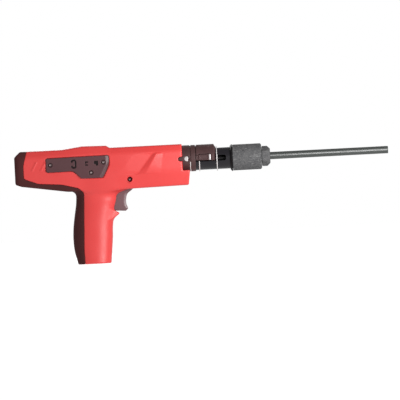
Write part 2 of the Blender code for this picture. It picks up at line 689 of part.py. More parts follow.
def muffler():
    """The coated sleeve round the barrel's front, its rear collar, the nut and the nose tube."""
    inner = BARREL_R + GAP
    piece(turned([(286.9, 15.4), (288.9, MUFFLER_R + 0.5), (MUFFLER_X[0] - GAP, MUFFLER_R + 0.5),
                  (MUFFLER_X[0] - GAP, inner), (286.9, inner)]), "sleeve_collar", "blackened_steel")
    sleeve = turned([(MUFFLER_X[0], MUFFLER_R), (MUFFLER_X[1] - 1.6, MUFFLER_R),
                     (MUFFLER_X[1], MUFFLER_R - 1.6), (MUFFLER_X[1], SPIGOT_R + GAP),
                     (FLANGE_X[1] + GAP, SPIGOT_R + GAP), (FLANGE_X[1] + GAP, FLANGE_R + GAP),
                     (BARREL_FRONT_X + GAP, FLANGE_R + GAP), (BARREL_FRONT_X + GAP, inner),
                     (MUFFLER_X[0], inner)])
    piece(sleeve, "muffler_sleeve", "sleeve_coating")
    flats = NUT_FLATS / 2
    hexagon = [(flats / math.cos(math.pi / 6) * math.cos(math.pi / 3 * i + math.pi / 2),
                flats / math.cos(math.pi / 6) * math.sin(math.pi / 3 * i + math.pi / 2)) for i in range(6)]
    nut = slab(hexagon, *NUT_X, "X")
    keep(nut, turned([(NUT_X[0] - 1, 0), (NUT_X[0] - 1, 14), (NUT_X[1] - 4, 14), (NUT_X[1] + 0.5, 9.4),
                      (NUT_X[1] + 0.5, 0)]))
    join(nut, rod("X", NUT_X[0] - 3, NUT_X[0] + 2, SPIGOT_R))
    piece(cut(nut, rod("X", 300, 400, TUBE_R + GAP)), "nose_nut", "sleeve_coating")
    tube = turned([(FLANGE_X[0], FLANGE_R), (FLANGE_X[1], FLANGE_R), (FLANGE_X[1], SPIGOT_R),
                   (NUT_X[0] - 3.4, SPIGOT_R), (NUT_X[0] - 3.4, TUBE_R), (MUZZLE_X - 0.6, TUBE_R),
                   (MUZZLE_X, TUBE_R - 0.4), (MUZZLE_X, TUBE_BORE_R), (FLANGE_X[0], TUBE_BORE_R)])
    piece(tube, "nose_tube", "tube_steel")


def piston():
    head, shank, thin, tip = PISTON_X
    grooves = (144.0, 149.0)
    profile = [(head, 0), (head, PISTON_HEAD_R)]
    for x in grooves:
        profile += [(x, PISTON_HEAD_R), (x, 9.0), (x + 2.6, 9.0), (x + 2.6, PISTON_HEAD_R)]
    profile += [(shank, PISTON_HEAD_R), (shank, PISTON_SHANK_R), (thin - 4, PISTON_SHANK_R),
                (thin, ROD_R), (tip, ROD_R), (tip, 0)]
    piece(turned(profile), "piston", "bright_steel")
    for number, x in enumerate(grooves, 1):
        piece(ring(x + 0.3, x + 2.3, 9.2, 10.05), f"piston_ring_{number}", "spring_steel")


# --- firing mechanism -----------------------------------------------------------------------------

def striker_group():
    tube = ring(20.0, 84.0, 10.3, 12.5)
    cut(tube, box((66, 82), (-3.6, 3.6), (-20, -5)))
    piece(tube, "striker_tube", "tube_steel")
    piece(turned([(17.4, 0), (17.4, 12.5), (19.7, 12.5), (19.7, 5.2), (34, 5.2), (35, 4.2), (35, 0)]),
          "striker_end_plug", "tube_steel")
    spring("firing_spring", 20.0, 58.2, 7.6, 1.8, 6)
    piece(turned([(58.5, 0), (58.5, 9.9), (84.0, 9.9), (85.6, 8.2), (85.6, 2.3), (103.4, 2.3),
                  (104.3, 1.4), (104.3, 0)]), "striker", "bright_steel")
    piece(rod("X", 6.2, 17.0, 11.5), "recoil_pad", "polyurethane")
    block = box(BREECH_X, (-BREECH_Y, BREECH_Y), (-BREECH_Z, BREECH_Z), bevel=1.5)
    piece(cut(block, rod("X", 80, 110, 2.7)), "breech_block", "tube_steel")


def sear_group():
    x, z = SEAR_PIVOT
    lever = slab(rounded([(x - 3.5, z - 3, 2), (x + 2, z - 8.6, 1), (x + 5, z - 8.6, 1), (x + 3.6, z - 2, 2),
                          (x + 12, z + 1.4, 1), (x + 12, z + 7, 0.5), (x + 8.6, z + 7, 0.5),
                          (x + 7.6, z + 3.4, 1), (x - 3.5, z + 3, 2)]), -3, 3)
    piece(cut(lever, rod("Y", -5, 5, 1.7, (x, 0, z), 16)), "sear", "bright_steel")
    piece(rod("Y", -PINS[0][2], PINS[0][2], 1.4, (x, 0, z), 12), "sear_pin", "bright_steel")
    pin_x, pin_z = BAR_PIN
    bar = slab(rounded([(69.6, -26.4, 0.5), (118, -26.4, 10), (pin_x - 4, pin_z - 2, 2),
                        (pin_x + 1.8, pin_z - 2, 1), (pin_x + 1.8, pin_z + 2, 1), (pin_x - 3, pin_z + 2, 2),
                        (118, -22.6, 10), (69.6, -22.6, 0.5)]), 8.5, 10.3)
    join(bar, box((69.6, 72.4), (-2.8, 9.5), (-26, -23)))
    join(bar, rod("Y", 4.0, 9.5, 1.4, (pin_x, 0, pin_z), 12))
    piece(bar, "trigger_bar", "bright_steel")


def trigger_group():
    x, z = TRIGGER_PIVOT
    blade = slab(rounded(TRIGGER), -TRIGGER_HALF_Y, TRIGGER_HALF_Y, bevel=1.0)
    cut(blade, rod("Y", -20, 20, 1.9, (x, 0, z), 16))
    slot_x, slot_z = BAR_PIN
    cut(blade, slab(rounded([(slot_x - 1.8, slot_z - 2.6, 1.7), (slot_x + 1.8, slot_z - 2.6, 1.7),
                             (slot_x + 1.8, slot_z + 2.6, 1.7), (slot_x - 1.8, slot_z + 2.6, 1.7)]),
                    2.8, 20))
    cut(blade, rod("X", 110, 131.5, 3.4, (0, 0, -50), 16))
    piece(blade, "trigger", "plate_plastic")
    spring("trigger_spring", 113.4, 131.2, 2.4, 0.9, 5, centre=(0, 0, -50))


def strip_feed():
    """The channel that a cartridge strip runs up, and the pawl that moves the strip on."""
    outer = STRIP_WALL
    guide = box((STRIP_X[0] - outer, STRIP_X[1] + outer), (-STRIP_HALF_Y - outer, STRIP_HALF_Y + outer), STRIP_Z)
    cut(guide, box(STRIP_X, (-STRIP_HALF_Y, STRIP_HALF_Y), (-FAR, FAR)))
    cut(guide, rod("X", 100, STRIP_X[0] + 1, 3.0, steps=16), rod("X", STRIP_X[1] - 1, 120, 5.4, steps=24))
    cut(guide, box((STRIP_X[1] - 1, 120), (-3.7, 3.7), (-47, -29)))
    piece(guide, "strip_guide", "tube_steel")
    x, z = PAWL_PIVOT
    pawl = slab(rounded([(x - 2.6, z + 2.6, 2), (x - 1, z + 9.6, 1), (x + 2, z + 9.6, 1), (x + 2.8, z - 1, 2),
                         (x + 1, z - 10, 2), (x - 6.8, z - 11.8, 0.5), (x - 6.8, z - 9.4, 0.5),
                         (x - 2.4, z - 6, 2)]), -3.2, 3.2)
    piece(cut(pawl, rod("Y", -5, 5, 1.7, (x, 0, z), 16)), "strip_pawl", "bright_steel")
    piece(rod("Y", -PINS[1][2], PINS[1][2], 1.4, (x, 0, z), 12), "pawl_pin", "bright_steel")


# --- joints ---------------------------------------------------------------------------------------

MOVING = [  # name, where its axis passes, what it moves on, what moves on it
    ("press_slide", (CARRIER_X[0], 0, 0), None, ["carrier_sleeve"]),
    ("cycle_slide", (BARREL_REAR_X, 0, 0), "press_slide",
     ["barrel_tube", "buffer_ring", "sleeve_collar", "muffler_sleeve", "nose_nut", "nose_tube"]),
    ("piston_slide", (PISTON_X[0], 0, 0), "cycle_slide", ["piston", "piston_ring_1", "piston_ring_2"]),
    ("striker_slide", (84, 0, 0), None, ["striker"]),
    ("trigger_hinge", (TRIGGER_PIVOT[0], 0, TRIGGER_PIVOT[1]), None, ["trigger"]),
    ("bar_slide", (BAR_PIN[0], 0, BAR_PIN[1]), None, ["trigger_bar"]),
    ("sear_hinge", (SEAR_PIVOT[0], 0, SEAR_PIVOT[1]), None, ["sear"]),
    ("pawl_hinge", (PAWL_PIVOT[0], 0, PAWL_PIVOT[1]), None, ["strip_pawl"]),
    ("catch_slide", (253.2, -16.3, 2.2), None, ["piston_catch"]),
]


def hang_on_joints():
    """An empty on each joint's axis, with the pieces that it moves as its children."""
    for name, place, carrier_name, moved in MOVING:
        empty = bpy.data.objects.new(name, None)
        empty.empty_display_size = 8 * MM
        empty.matrix_world = Matrix.Translation(Vector(place) * MM)
        collection(COLLECTION).objects.link(empty)
        if carrier_name:
            hang(empty, bpy.data.objects[carrier_name])
        for child in moved:
            hang(bpy.data.objects[child], empty)


def hang(obj, parent):
    """Gives obj its parent and leaves it where it is."""
    bpy.context.view_layer.update()
    obj.parent = parent
    obj.matrix_parent_inverse = parent.matrix_world.inverted()


def main():
    clear_scene()
    housing()
    side_plate(-1, "right_side_plate")
    side_plate(1, "left_side_plate")
    housing_screws()
    receiver()
    half_cover()
    piston_catch()
    retaining_rings()
    carrier()
    barrel()
    muffler()
    piston()
    striker_group()
    sear_group()
    trigger_group()
    strip_feed()
    hang_on_joints()


main()
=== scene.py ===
"""Powder-actuated nail gun: its looks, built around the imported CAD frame.

Moulded and machined pieces are made as distance fields. Each field is sampled on a grid, turned into
a closed quad mesh, and every point is then pulled onto the field, so edges come out softly rounded.
Plain turned pieces are lathed. Lengths in the fields are millimetres, in the frame's own axes:
+X to the muzzle, +Z up, and -Y is the tool's right-hand side.
"""

import math

import bpy
import numpy as np
from mathutils import Matrix, Vector


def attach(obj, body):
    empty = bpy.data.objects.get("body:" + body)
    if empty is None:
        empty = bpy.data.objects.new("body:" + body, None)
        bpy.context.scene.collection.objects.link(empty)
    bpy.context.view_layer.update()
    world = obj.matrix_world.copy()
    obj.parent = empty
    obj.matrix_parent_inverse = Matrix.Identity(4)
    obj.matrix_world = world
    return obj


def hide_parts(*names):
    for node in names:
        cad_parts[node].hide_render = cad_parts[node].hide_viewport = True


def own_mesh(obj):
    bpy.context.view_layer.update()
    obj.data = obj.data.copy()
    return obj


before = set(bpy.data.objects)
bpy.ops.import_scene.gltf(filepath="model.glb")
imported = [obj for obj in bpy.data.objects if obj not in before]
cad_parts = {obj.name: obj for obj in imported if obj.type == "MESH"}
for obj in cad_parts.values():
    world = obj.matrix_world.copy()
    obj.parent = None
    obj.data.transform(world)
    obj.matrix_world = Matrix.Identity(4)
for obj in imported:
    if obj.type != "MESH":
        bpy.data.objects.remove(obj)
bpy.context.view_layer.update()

MM = 0.001                # one millimetre in metres; the shapes are in millimetres
GAP = 0.3                 # clearance between neighbouring pieces
FAR = 300.0               # a place well past the piece, for cutters that run through
HALF_WIDTH = 25.0         # of the housing at its widest
SIDE_TAPER = 3.2 / 86     # how fast each side draws in towards the front
TAPER_START = 140.0
WALL = 2.8                # of the moulded shells
RUBBER = 3.0              # thickness of the soft skin
FRONT = 223.4             # the housing's front face, above its chin
FOOT_Z = -131.5           # the grip's flat foot
GRIP_TOP = -22.0
GRIP_POWER = 2.25         # of the grip's superellipses; 2 would be an ellipse
PLATE_RECESS_Y = 23.2     # floor of the side plates' recess
PLATE_FACE_Y = 25.9
MARK_DEPTH = 0.8          # of the pictogram's recess
RIDGE_HEIGHT = 1.4
RIB_HEIGHT = 0.95
RIDGE_BASE, RIDGE_RISE = -14.3, 24.0
RIDGE_LINES = ((164.0, 19.8), (174.2, 14.7), (194.4, 3.8))  # foot, crest, front: x at base, lean
VALLEY_LENGTH = 26.0
RIB_STARTS = (21.5, 33.5)
RIB_LEAN = 6.2            # how far each rib leans forward over its height of 11.5
RIB_WIDTH = 3.6
BARREL_R = 14.2
BORE_R = 2.9
COLLAR_R = 17.5
COLLAR_Z = 2.0            # the eccentric collar's axis is this far above the barrel's
COLLAR_X = (213.0, 241.0)
COLLAR_GROOVE = (233.2, 234.8)
SLEEVE_R = 16.6           # inside the receiver, and at the bottom of the collar's groove
COVER_X = (241.9, 268.3)
COVER_EDGE_Z = -2.4
CATCH_X = (245.2, 261.2)
CATCH_Z = (-1.6, 6.1)
CATCH_END_X = 258.9       # where the stop lever's bright steel front end, a painted highlight, begins
LOCK_PIN = (229.4, 1.3)
KEY_Z = 1.4
TRIGGER_PIVOT = (152.6, -21.9)
TRIGGER_SPRING_Z = -50.0
PLATE_SCREWS = [(48.1, 2.0), (118.7, 2.5), (101.9, -10.4)]
SHELL_POSTS = [((64.0, -17.6), 12.0, 19.0), ((119.0, -30.0), 11.2, 15.5)]  # x and z, start, end
NUT_X = (329.1, 340.2)

# Outlines: x, z and the fillet at each corner.
BODY_SIDE = [
    (0, -21.5, 4), (0, 13.8, 2), (8.6, 21.6, 3), (64, 21.6, 30), (91, 25.0, 20), (123, 24.3, 1.5),
    (127.6, 21.3, 2), (FRONT, 21.3, 1), (FRONT, -13.6, 1), (233, -13.6, 1.5), (230.3, -33.2, 2),
    (150, -34.4, 20), (70, -34.4, 30), (9, -24.8, 5)]
BODY_PLAN = [  # x, y and the fillet
    (0, -HALF_WIDTH, 9), (0, HALF_WIDTH, 9), (150, HALF_WIDTH, 60), (236, 21.8, 3),
    (236, -21.8, 3), (150, -HALF_WIDTH, 60)]
GRIP = np.array([  # level, rear, front, half width
    (-22, 84, 148, 20.5), (-34.4, 80.4, 146.5, 19.6), (-38.5, 80.2, 138.8, 18.8),
    (-50, 79.5, 133.8, 17.6), (-66, 76.8, 129.6, 17.2), (-82, 74.4, 126.9, 17.2),
    (-98, 73.5, 126, 17.2), (-112, 74.3, 124.6, 17.2), (-131.5, 78.5, 122.6, 17.6)])[::-1]
SKIN_EDGE = [
    (17.6, 40, 0), (17.2, 20, 8), (12.4, 3, 30), (12.4, -14.6, 4), (31, -21.9, 20), (62, -24.4, 20),
    (84, -30.2, 8), (91, -36.5, 6), (90.4, -52, 40), (87.7, -110, 40), (88.2, -160, 0),
    (-40, -160, 0), (-40, 40, 0)]
PLATE = [
    (42.5, 11, 2.5), (126.6, 11.5, 3), (126.6, -1.5, 6), (117.6, -17.9, 2), (88.6, -17.8, 4),
    (79, -7.4, 10), (42.5, -7.8, 3)]
FOOT_OPENING = [(93.0, -12.6, 3), (118.4, -12.6, 6), (118.4, 12.6, 6), (93.0, 12.6, 3)]  # x, y, fillet
BARREL_SLOT = [(163, -2.9, 1.5), (281.3, -2.9, 2.5), (281.3, 4.3, 2.5), (163, 4.3, 1.5)]
HOOK = [(118, -59.5, 0), (130, -61.8, 1), (137.2, -65.9, 1.2), (127.5, -73.4, 5), (118, -76, 0)]
TRIGGER = [
    (148.6, -18.5, 3.2), (156.6, -18.5, 3.2), (158.6, -33, 10), (147.6, -40.5, 8), (145.2, -51.5, 25),
    (148.4, -60.2, 1.3), (145, -63.3, 1.6), (130, -62.3, 3), (126, -56, 3), (136.6, -33, 8)]


# --- distance fields ------------------------------------------------------------------------------

def rounded(corners, most=9):
    """The outline with an arc at each corner, in steps of at most that many degrees."""
    points = []
    for i, (x, z, radius) in enumerate(corners):
        here = Vector((x, z))
        before = Vector(corners[i - 1][:2]) - here
        after = Vector(corners[(i + 1) % len(corners)][:2]) - here
        angle = before.angle(after)
        turn = math.pi - angle
        if radius <= 0 or turn < math.radians(1):
            points.append(tuple(here))
            continue
        reach = min(radius / math.tan(angle / 2), 0.49 * before.length, 0.49 * after.length)
        radius = reach * math.tan(angle / 2)
        inward = (before.normalized() + after.normalized()).normalized()
        centre = here + inward * (radius / math.sin(angle / 2))
        start = here + before.normalized() * reach - centre
        end = here + after.normalized() * reach - centre
        steps = max(2, math.ceil(turn / math.radians(most)))
        sweep = start.angle_signed(end)
        for step in range(steps + 1):
            points.append(tuple(centre + Matrix.Rotation(-sweep * step / steps, 2) @ start))
    return points


def outline(points, x, z):
    """Signed distance from a closed outline, negative inside."""
    x, z = np.broadcast_arrays(x, z)
    near = np.full(x.shape, 1e9)
    inside = np.zeros(x.shape, bool)
    for (ax, az), (bx, bz) in zip(points, points[1:] + points[:1]):
        ex, ez = bx - ax, bz - az
        along = np.clip(((x - ax) * ex + (z - az) * ez) / (ex * ex + ez * ez + 1e-12), 0, 1)
        near = np.minimum(near, (x - ax - along * ex) ** 2 + (z - az - along * ez) ** 2)
        if az != bz:
            inside ^= ((az <= z) != (bz <= z)) & (x < ax + (z - az) / ez * ex)
    return np.where(inside, -1.0, 1.0) * np.sqrt(near)


def both(a, b, r=0.0):
    """Where two fields overlap, the edge between them rounded to about r."""
    if np.isscalar(r) and r == 0:
        return np.maximum(a, b)
    return np.minimum(-r, np.maximum(a, b)) + np.hypot(np.maximum(a + r, 0), np.maximum(b + r, 0))


def either(a, b, r=0.0):
    """Two fields joined, the inside corner between them filled to about r."""
    return -both(-a, -b, r)


def without(a, b, r=0.0):
    """The first field less the second."""
    return both(a, -b, r)


def span(value, low, high):
    """The slab between two values along one axis."""
    return np.abs(value - (low + high) / 2) - (high - low) / 2


def block(x, y, z, xs, ys, zs, r=0.0):
    """A box with rounded edges."""
    q = [span(v, *ends) + r for v, ends in ((x, xs), (y, ys), (z, zs))]
    outside = np.sqrt(sum(np.maximum(part, 0) ** 2 for part in q))
    return outside + np.minimum(np.maximum(np.maximum(q[0], q[1]), q[2]), 0) - r


def bar_x(x, y, z, ends, radius, r=0.0, up=0.0):
    """A round bar along X."""
    return both(np.hypot(y, z - up) - radius, span(x, *ends), r)


def bar_y(x, y, z, ends, radius, place, r=0.0):
    """A round bar along Y."""
    return both(np.hypot(x - place[0], z - place[1]) - radius, span(y, *ends), r)


def ramp(value):
    """0 up to 0, 1 from 1 on, and smooth between."""
    value = np.clip(value, 0, 1)
    return value * value * (3 - 2 * value)


def through(at, places, values):
    """A smooth curve through values at rising places."""
    slope = np.gradient(values, places)
    i = np.clip(np.searchsorted(places, at) - 1, 0, len(places) - 2)
    gap = places[i + 1] - places[i]
    t = np.clip((at - places[i]) / gap, 0, 1)
    return ((1 + 2 * t) * (1 - t) ** 2 * values[i] + t * (1 - t) ** 2 * gap * slope[i]
            + t * t * (3 - 2 * t) * values[i + 1] - t * t * (1 - t) * gap * slope[i + 1])


# --- the moulded housing --------------------------------------------------------------------------

BODY_SIDE_LINE = rounded(BODY_SIDE)
BODY_PLAN_LINE = rounded(BODY_PLAN)
SKIN_LINE = rounded(SKIN_EDGE)
PLATE_LINE = rounded(PLATE)
HOOK_LINE = rounded(HOOK)
TRIGGER_LINE = rounded(TRIGGER)
FOOT_LINE = rounded(FOOT_OPENING)
BARREL_SLOT_LINE = rounded(BARREL_SLOT)


def relief(x, z):
    """How far the side stands out of its plane: the valley, the slanting ridge and two small ribs."""
    up = np.clip((z - RIDGE_BASE) / RIDGE_RISE, -0.1, 1.1)
    foot, crest, front = (start + lean * up for start, lean in RIDGE_LINES)
    valley = -RIDGE_HEIGHT * np.clip((x - foot + VALLEY_LENGTH) / VALLEY_LENGTH, 0, 1)
    climb = RIDGE_HEIGHT * (2 * (x - foot) / (crest - foot) - 1)
    fall = RIDGE_HEIGHT * np.clip((front - x) / (front - crest), 0, 1)
    height = np.where(x < foot, valley, np.where(x < crest, climb, fall))
    height = height * ramp((12.4 - z) / 2.4) * ramp((z + 16.4) / 1.6)
    for start in RIB_STARTS:
        across = x - start - RIB_LEAN * (z + 4.9) / 11.5
        rise = np.minimum(across / 2.4, RIB_WIDTH - across)
        ends = np.minimum((z + 5.3) / 0.6, (7.0 - z) / 0.6)
        height = height + RIB_HEIGHT * np.clip(np.minimum(rise, ends), 0, 1)
    return height


def barrel_housing(x, y, z):
    """The long upper body: side view, plan view and two chamfered flanks."""
    y = np.abs(y)
    taper = np.clip((x - TAPER_START) * SIDE_TAPER, 0, 4)
    flank_top = (y - HALF_WIDTH + taper) * 0.887 + (z - 12.6) * 0.462
    crease = np.interp(x, [50, 113, 149.8, 166.5, 227.5], [-16.5, -22.5, -14.8, -13.8, -16.0])
    flank_low = (y - HALF_WIDTH + taper) * 0.957 - (z - crease) * 0.289
    soft = np.interp(x, [100, 150], [7.0, 1.6])
    body = both(outline(BODY_PLAN_LINE, x, y), flank_top, 1.4)
    body = both(body, flank_low, soft)
    body = body - relief(x, z) * ramp((y - 14) / 5)
    return both(body, outline(BODY_SIDE_LINE, x, z), 2.2)


def grip(x, y, z):
    """The grip: superellipses whose size runs smoothly down to the flat foot."""
    level = np.clip(z, FOOT_Z, GRIP_TOP)
    rear, front, half = (through(level, GRIP[:, 0], GRIP[:, i]) for i in (1, 2, 3))
    reach = (front - rear) / 2
    u = np.abs(x - (rear + front) / 2) / reach + 1e-6
    v = np.abs(y) / half + 1e-6
    size = (u ** GRIP_POWER + v ** GRIP_POWER) ** (1 / GRIP_POWER)
    slope = size ** (1 - GRIP_POWER) * np.hypot(u ** (GRIP_POWER - 1) / reach,
                                                v ** (GRIP_POWER - 1) / half)
    body = (size - 1) / np.maximum(slope, 0.02)
    return both(both(body, FOOT_Z - z, 1.0), z + 16.0, 2.0)


def hook(x, y, z):
    """The finger rest at the grip's front, narrowing to its tip."""
    width = 10.8 - 0.25 * np.clip(x - 124, 0, 14)
    return both(outline(HOOK_LINE, x, z), np.abs(y) - width, 1.3)


def outside(x, y, z):
    """The whole outside of the housing."""
    body = either(barrel_housing(x, y, z), grip(x, y, z), 7.0)
    return either(body, hook(x, y, z), 3.0)


def shell_field(x, y, z):
    """One half of the housing, y from its parting line outwards: hollow, with its openings."""
    skin = outline(SKIN_LINE, x, z)
    out = outside(x, y, z)
    shell = both(out, either(-skin, out + RUBBER + GAP), 0.3)
    space = both(out + WALL, either(WALL - skin, out + RUBBER + GAP + WALL))
    shell = both(without(shell, space), GAP / 2 - y, 0.35)
    shell = either(shell, bar_y(x, y, z, (6.5, 22.5), 4.6, TRIGGER_PIVOT))
    shell = without(shell, bar_y(x, y, z, (-1, FAR), 1.9, TRIGGER_PIVOT))
    shell = without(shell, bar_y(x, y, z, (16.5, FAR), 3.45, TRIGGER_PIVOT), 0.5)
    for place, start, end in SHELL_POSTS:
        shell = either(shell, both(bar_y(x, y, z, (start, end + 6), 3.0, place), out + 1))
        shell = without(shell, bar_y(x, y, z, (-1, end + GAP), 1.7, place))
    shell = without(shell, bar_x(x, y, z, (COLLAR_X[0] - 3, FAR), COLLAR_R + GAP, up=COLLAR_Z), 0.4)
    notch = either(bar_y(x, y, z, (12, FAR), 3.0, (FRONT - 2.6, KEY_Z)),
                   block(x, y, z, (FRONT - 2.6, FRONT + 5), (12, FAR), (-1.6, 4.4)))
    shell = without(shell, notch, 0.4)
    shell = without(shell, block(x, y, z, (102.7, 113.3), (-7.3, 7.3), (-FAR, FAR)), 0.4)
    shell = without(shell, both(outline(FOOT_LINE, x, y), z - FOOT_Z - WALL - 2), 0.2)
    shell = without(shell, block(x, y, z, (118, 160), (-6.3, 6.3), (-64.4, -25)), 0.5)
    recess = both(outline(PLATE_LINE, x, z) - GAP, PLATE_RECESS_Y - y)
    shell = without(shell, recess, 0.35)
    for place in PLATE_SCREWS:
        shell = without(shell, bar_y(x, y, z, (15, FAR), 1.6, place))
    return shell


def backstrap_field(x, y, z):
    """The soft skin round the butt and down the grip's back, both sides in one piece."""
    out = outside(x, y, z)
    return both(both(out, outline(SKIN_LINE, x, z) + GAP, 0.5), -(out + RUBBER))


def plate_field(x, y, z):
    """A side plate, y outwards: wide bevel at its front, sunk screw seats and a plain pictogram."""
    edge = outline(PLATE_LINE, x, z)
    front = both(x - 126.6, 0.877 * (x - 126.6) - 0.481 * (z + 1.5), 4.0)
    bevel = (y - PLATE_FACE_Y) * 0.9 + (front + 4.4) * 0.43
    plate = both(both(edge, y - PLATE_FACE_Y, 0.9), bevel, 0.5)
    plate = both(plate, PLATE_RECESS_Y + GAP - y)
    plate = without(plate, both(marks(x, y, z), PLATE_FACE_Y - MARK_DEPTH - y), 0.15)
    for place in PLATE_SCREWS:
        plate = without(plate, bar_y(x, y, z, (PLATE_FACE_Y - 1.5, FAR), 3.1, place), 0.3)
        plate = without(plate, bar_y(x, y, z, (0, FAR), 1.6, place))
    return plate


def marks(x, y, z):
    """The plain pictogram on a side plate: a broken ring, two dashes and a hooked block."""
    y = 0 * y
    ring = np.abs(block(x, y, z, (76.4, 82.4), (-1, 1), (-3.6, 7.4), 2.4)) - 0.8
    mark = without(ring, block(x, y, z, (74, 78.2), (-2, 2), (-0.2, 4.0)))
    for xs, zs in (((94.4, 98.6), (3.0, 4.6)), ((94.4, 95.9), (1.9, 4.6)), ((94.4, 98.2), (-0.9, 0.7)),
                   ((106.4, 111.6), (0.6, 4.8)), ((108.6, 111.6), (-1.2, 1.0))):
        mark = np.minimum(mark, block(x, y, z, xs, (-1, 1), zs, 0.3))
    return mark


def mark_field(x, y, z):
    """The dark filling of the pictogram's recess, a little below the plate's face."""
    filling = span(y, PLATE_FACE_Y - MARK_DEPTH - 0.2, PLATE_FACE_Y - 0.3)
    return both(marks(x, y, z) - 0.05, filling, 0.1)


def trigger_field(x, y, z):
    """The trigger blade: chamfered along its front edge, with the bar's slot and the spring's pocket."""
    edge = outline(TRIGGER_LINE, x, z)
    blade = both(edge, np.abs(y) - 5.5, 0.9)
    chamfer = (edge + 2.7) * 0.38 + (np.abs(y) - 5.5) * 0.925
    blade = np.where(x > 137, both(blade, chamfer, 0.25), blade)
    blade = without(blade, bar_y(x, y, z, (-20, 20), 1.9, TRIGGER_PIVOT))
    slot = block(x, y, z, (147.8, 151.4), (2.8, 20), (-31.6, -26.4), 1.7)
    blade = without(blade, slot)
    return without(blade, bar_x(x, y, z, (110, 131.5), 3.4, up=TRIGGER_SPRING_Z))


# --- the machined pieces --------------------------------------------------------------------------

def receiver_field(x, y, z):
    """The sleeve fixed in the housing, its eccentric collar with a groove, a pin seat and two keys."""
    round_axis = np.hypot(y, z)
    body = either(bar_x(x, y, z, (116, 215), 18.0, 0.4),
                  bar_x(x, y, z, COLLAR_X, COLLAR_R, 0.5, COLLAR_Z))
    for side in (-1, 1):
        key = either(bar_y(x, side * y, z, (15, 20.6), 2.6, (220.8, KEY_Z), 0.4),
                     block(x, side * y, z, (220.8, 225), (15, 20.6), (-1.2, 4.0), 0.4))
        body = either(body, key, 0.2)
    body = without(body, both(round_axis - BARREL_R - GAP, span(x, 100, 260)), 0.3)
    body = without(body, both(round_axis - SLEEVE_R, span(x, 118.2, 219.3)))
    groove = both(SLEEVE_R - np.hypot(y, z - COLLAR_Z), span(x, *COLLAR_GROOVE))
    body = without(body, groove, 0.15)
    return without(body, bar_y(x, y, z, (-25, -15.8), 3.6, LOCK_PIN), 0.2)


def lock_pin_field(x, y, z):
    """The collar's lock pin, with a flat along its front."""
    return both(bar_y(x, y, z, (-17.9, -16.1), 3.35, LOCK_PIN, 0.4), x - 231.0, 0.2)


def cover_field(x, y, z):
    """The half cover over the barrel, with the window of the stop lever and a chamfered front."""
    cover = both(bar_x(x, y, z, COVER_X, COLLAR_R, 0.4, COLLAR_Z), COVER_EDGE_Z - z, 0.4)
    outward = np.hypot(y, z - COLLAR_Z) - COLLAR_R
    cover = both(cover, outward * 0.5 + (x - COVER_X[1] + 2.8) * 0.86, 0.3)
    neck = both(bar_x(x, y, z, (240.9, 243), COLLAR_R - 1.6, 0.1, COLLAR_Z), COVER_EDGE_Z + 0.4 - z)
    cover = np.minimum(cover, neck)
    cover = without(cover, np.hypot(y, z) - BARREL_R - GAP)
    cover = without(cover, block(x, y, z, (230, CATCH_X[0]), (-30, -8), (-30, 5.2), 0.6), 0.3)
    window = block(x, y, z, (CATCH_X[0] - GAP, CATCH_X[1] + 0.5), (-30, -8),
                   (-30, CATCH_Z[1] + 0.6), 0.5)
    return without(cover, window, 0.3)


def catch_field(x, y, z):
    """The stop lever's bar with its tooth, and a shallow groove along its face."""
    bar = block(x, y, z, (CATCH_X[0], CATCH_END_X), (-17.8, -14.8), CATCH_Z, 0.5)
    bar = without(bar, block(x, y, z, (247, 257.4), (-18.5, -17.4), (-0.2, 4.6), 0.3), 0.2)
    return either(bar, block(x, y, z, (256.4, CATCH_END_X), (-15.5, -6.8), (CATCH_Z[0], 3.0), 0.2))


def guide_field(x, y, z):
    """The small block behind the stop lever, with a slot across its face."""
    guide = block(x, y, z, (241.6, 244.9), (-17.4, -14.8), (CATCH_Z[0], 4.9), 0.4)
    return without(guide, block(x, y, z, (242.6, 246), (-18.5, -17.0), (0.6, 2.6), 0.2), 0.15)


def catch_highlight_end_field(x, y, z):
    """The front end of the stop lever in bright steel, a painted highlight on its lit edge, with the
    rest of the tooth behind it.
    """
    end = block(x, y, z, (CATCH_END_X, CATCH_X[1]), (-17.8, -14.8), CATCH_Z, 0.5)
    return either(end, block(x, y, z, (CATCH_END_X, 260.4), (-15.5, -6.8), (CATCH_Z[0], 3.0), 0.2))


def barrel_field(x, y, z):
    """The barrel tube with its chamber nose and the slot of the stop lever's tooth."""
    radius = np.hypot(y, z)
    tube = either(bar_x(x, y, z, (131, 160), 13.2, 0.4), bar_x(x, y, z, (153, 300), BARREL_R, 0.6))
    tube = either(tube, bar_x(x, y, z, (127, 135), 5.0, 0.4))
    tube = without(tube, both(radius - 10.2, 140 - x), 0.4)
    tube = without(tube, radius - BORE_R, 0.2)
    return without(tube, both(outline(BARREL_SLOT_LINE, x, z), y + 4), 0.3)


def nut_field(x, y, z):
    """The hexagonal nut on the nose tube, chamfered at its front."""
    turns = [math.pi / 3 * i for i in range(3)]
    faces = [np.abs(y * math.cos(a) + z * math.sin(a)) + 0 * x for a in turns]
    flats = np.max(np.stack(faces), axis=0) - 11.6
    radius = np.hypot(y, z)
    nut = both(flats, span(x, *NUT_X), 0.5)
    nut = both(nut, (radius - 9.6) * 0.72 + (x - NUT_X[1]) * 0.69, 0.3)
    nut = both(nut, (radius - 12.4) * 0.5 + (NUT_X[0] - x) * 0.86, 0.3)
    nut = either(nut, bar_x(x, y, z, (326.1, 331), 8.0))
    return without(nut, radius - 5.2, 0.3)


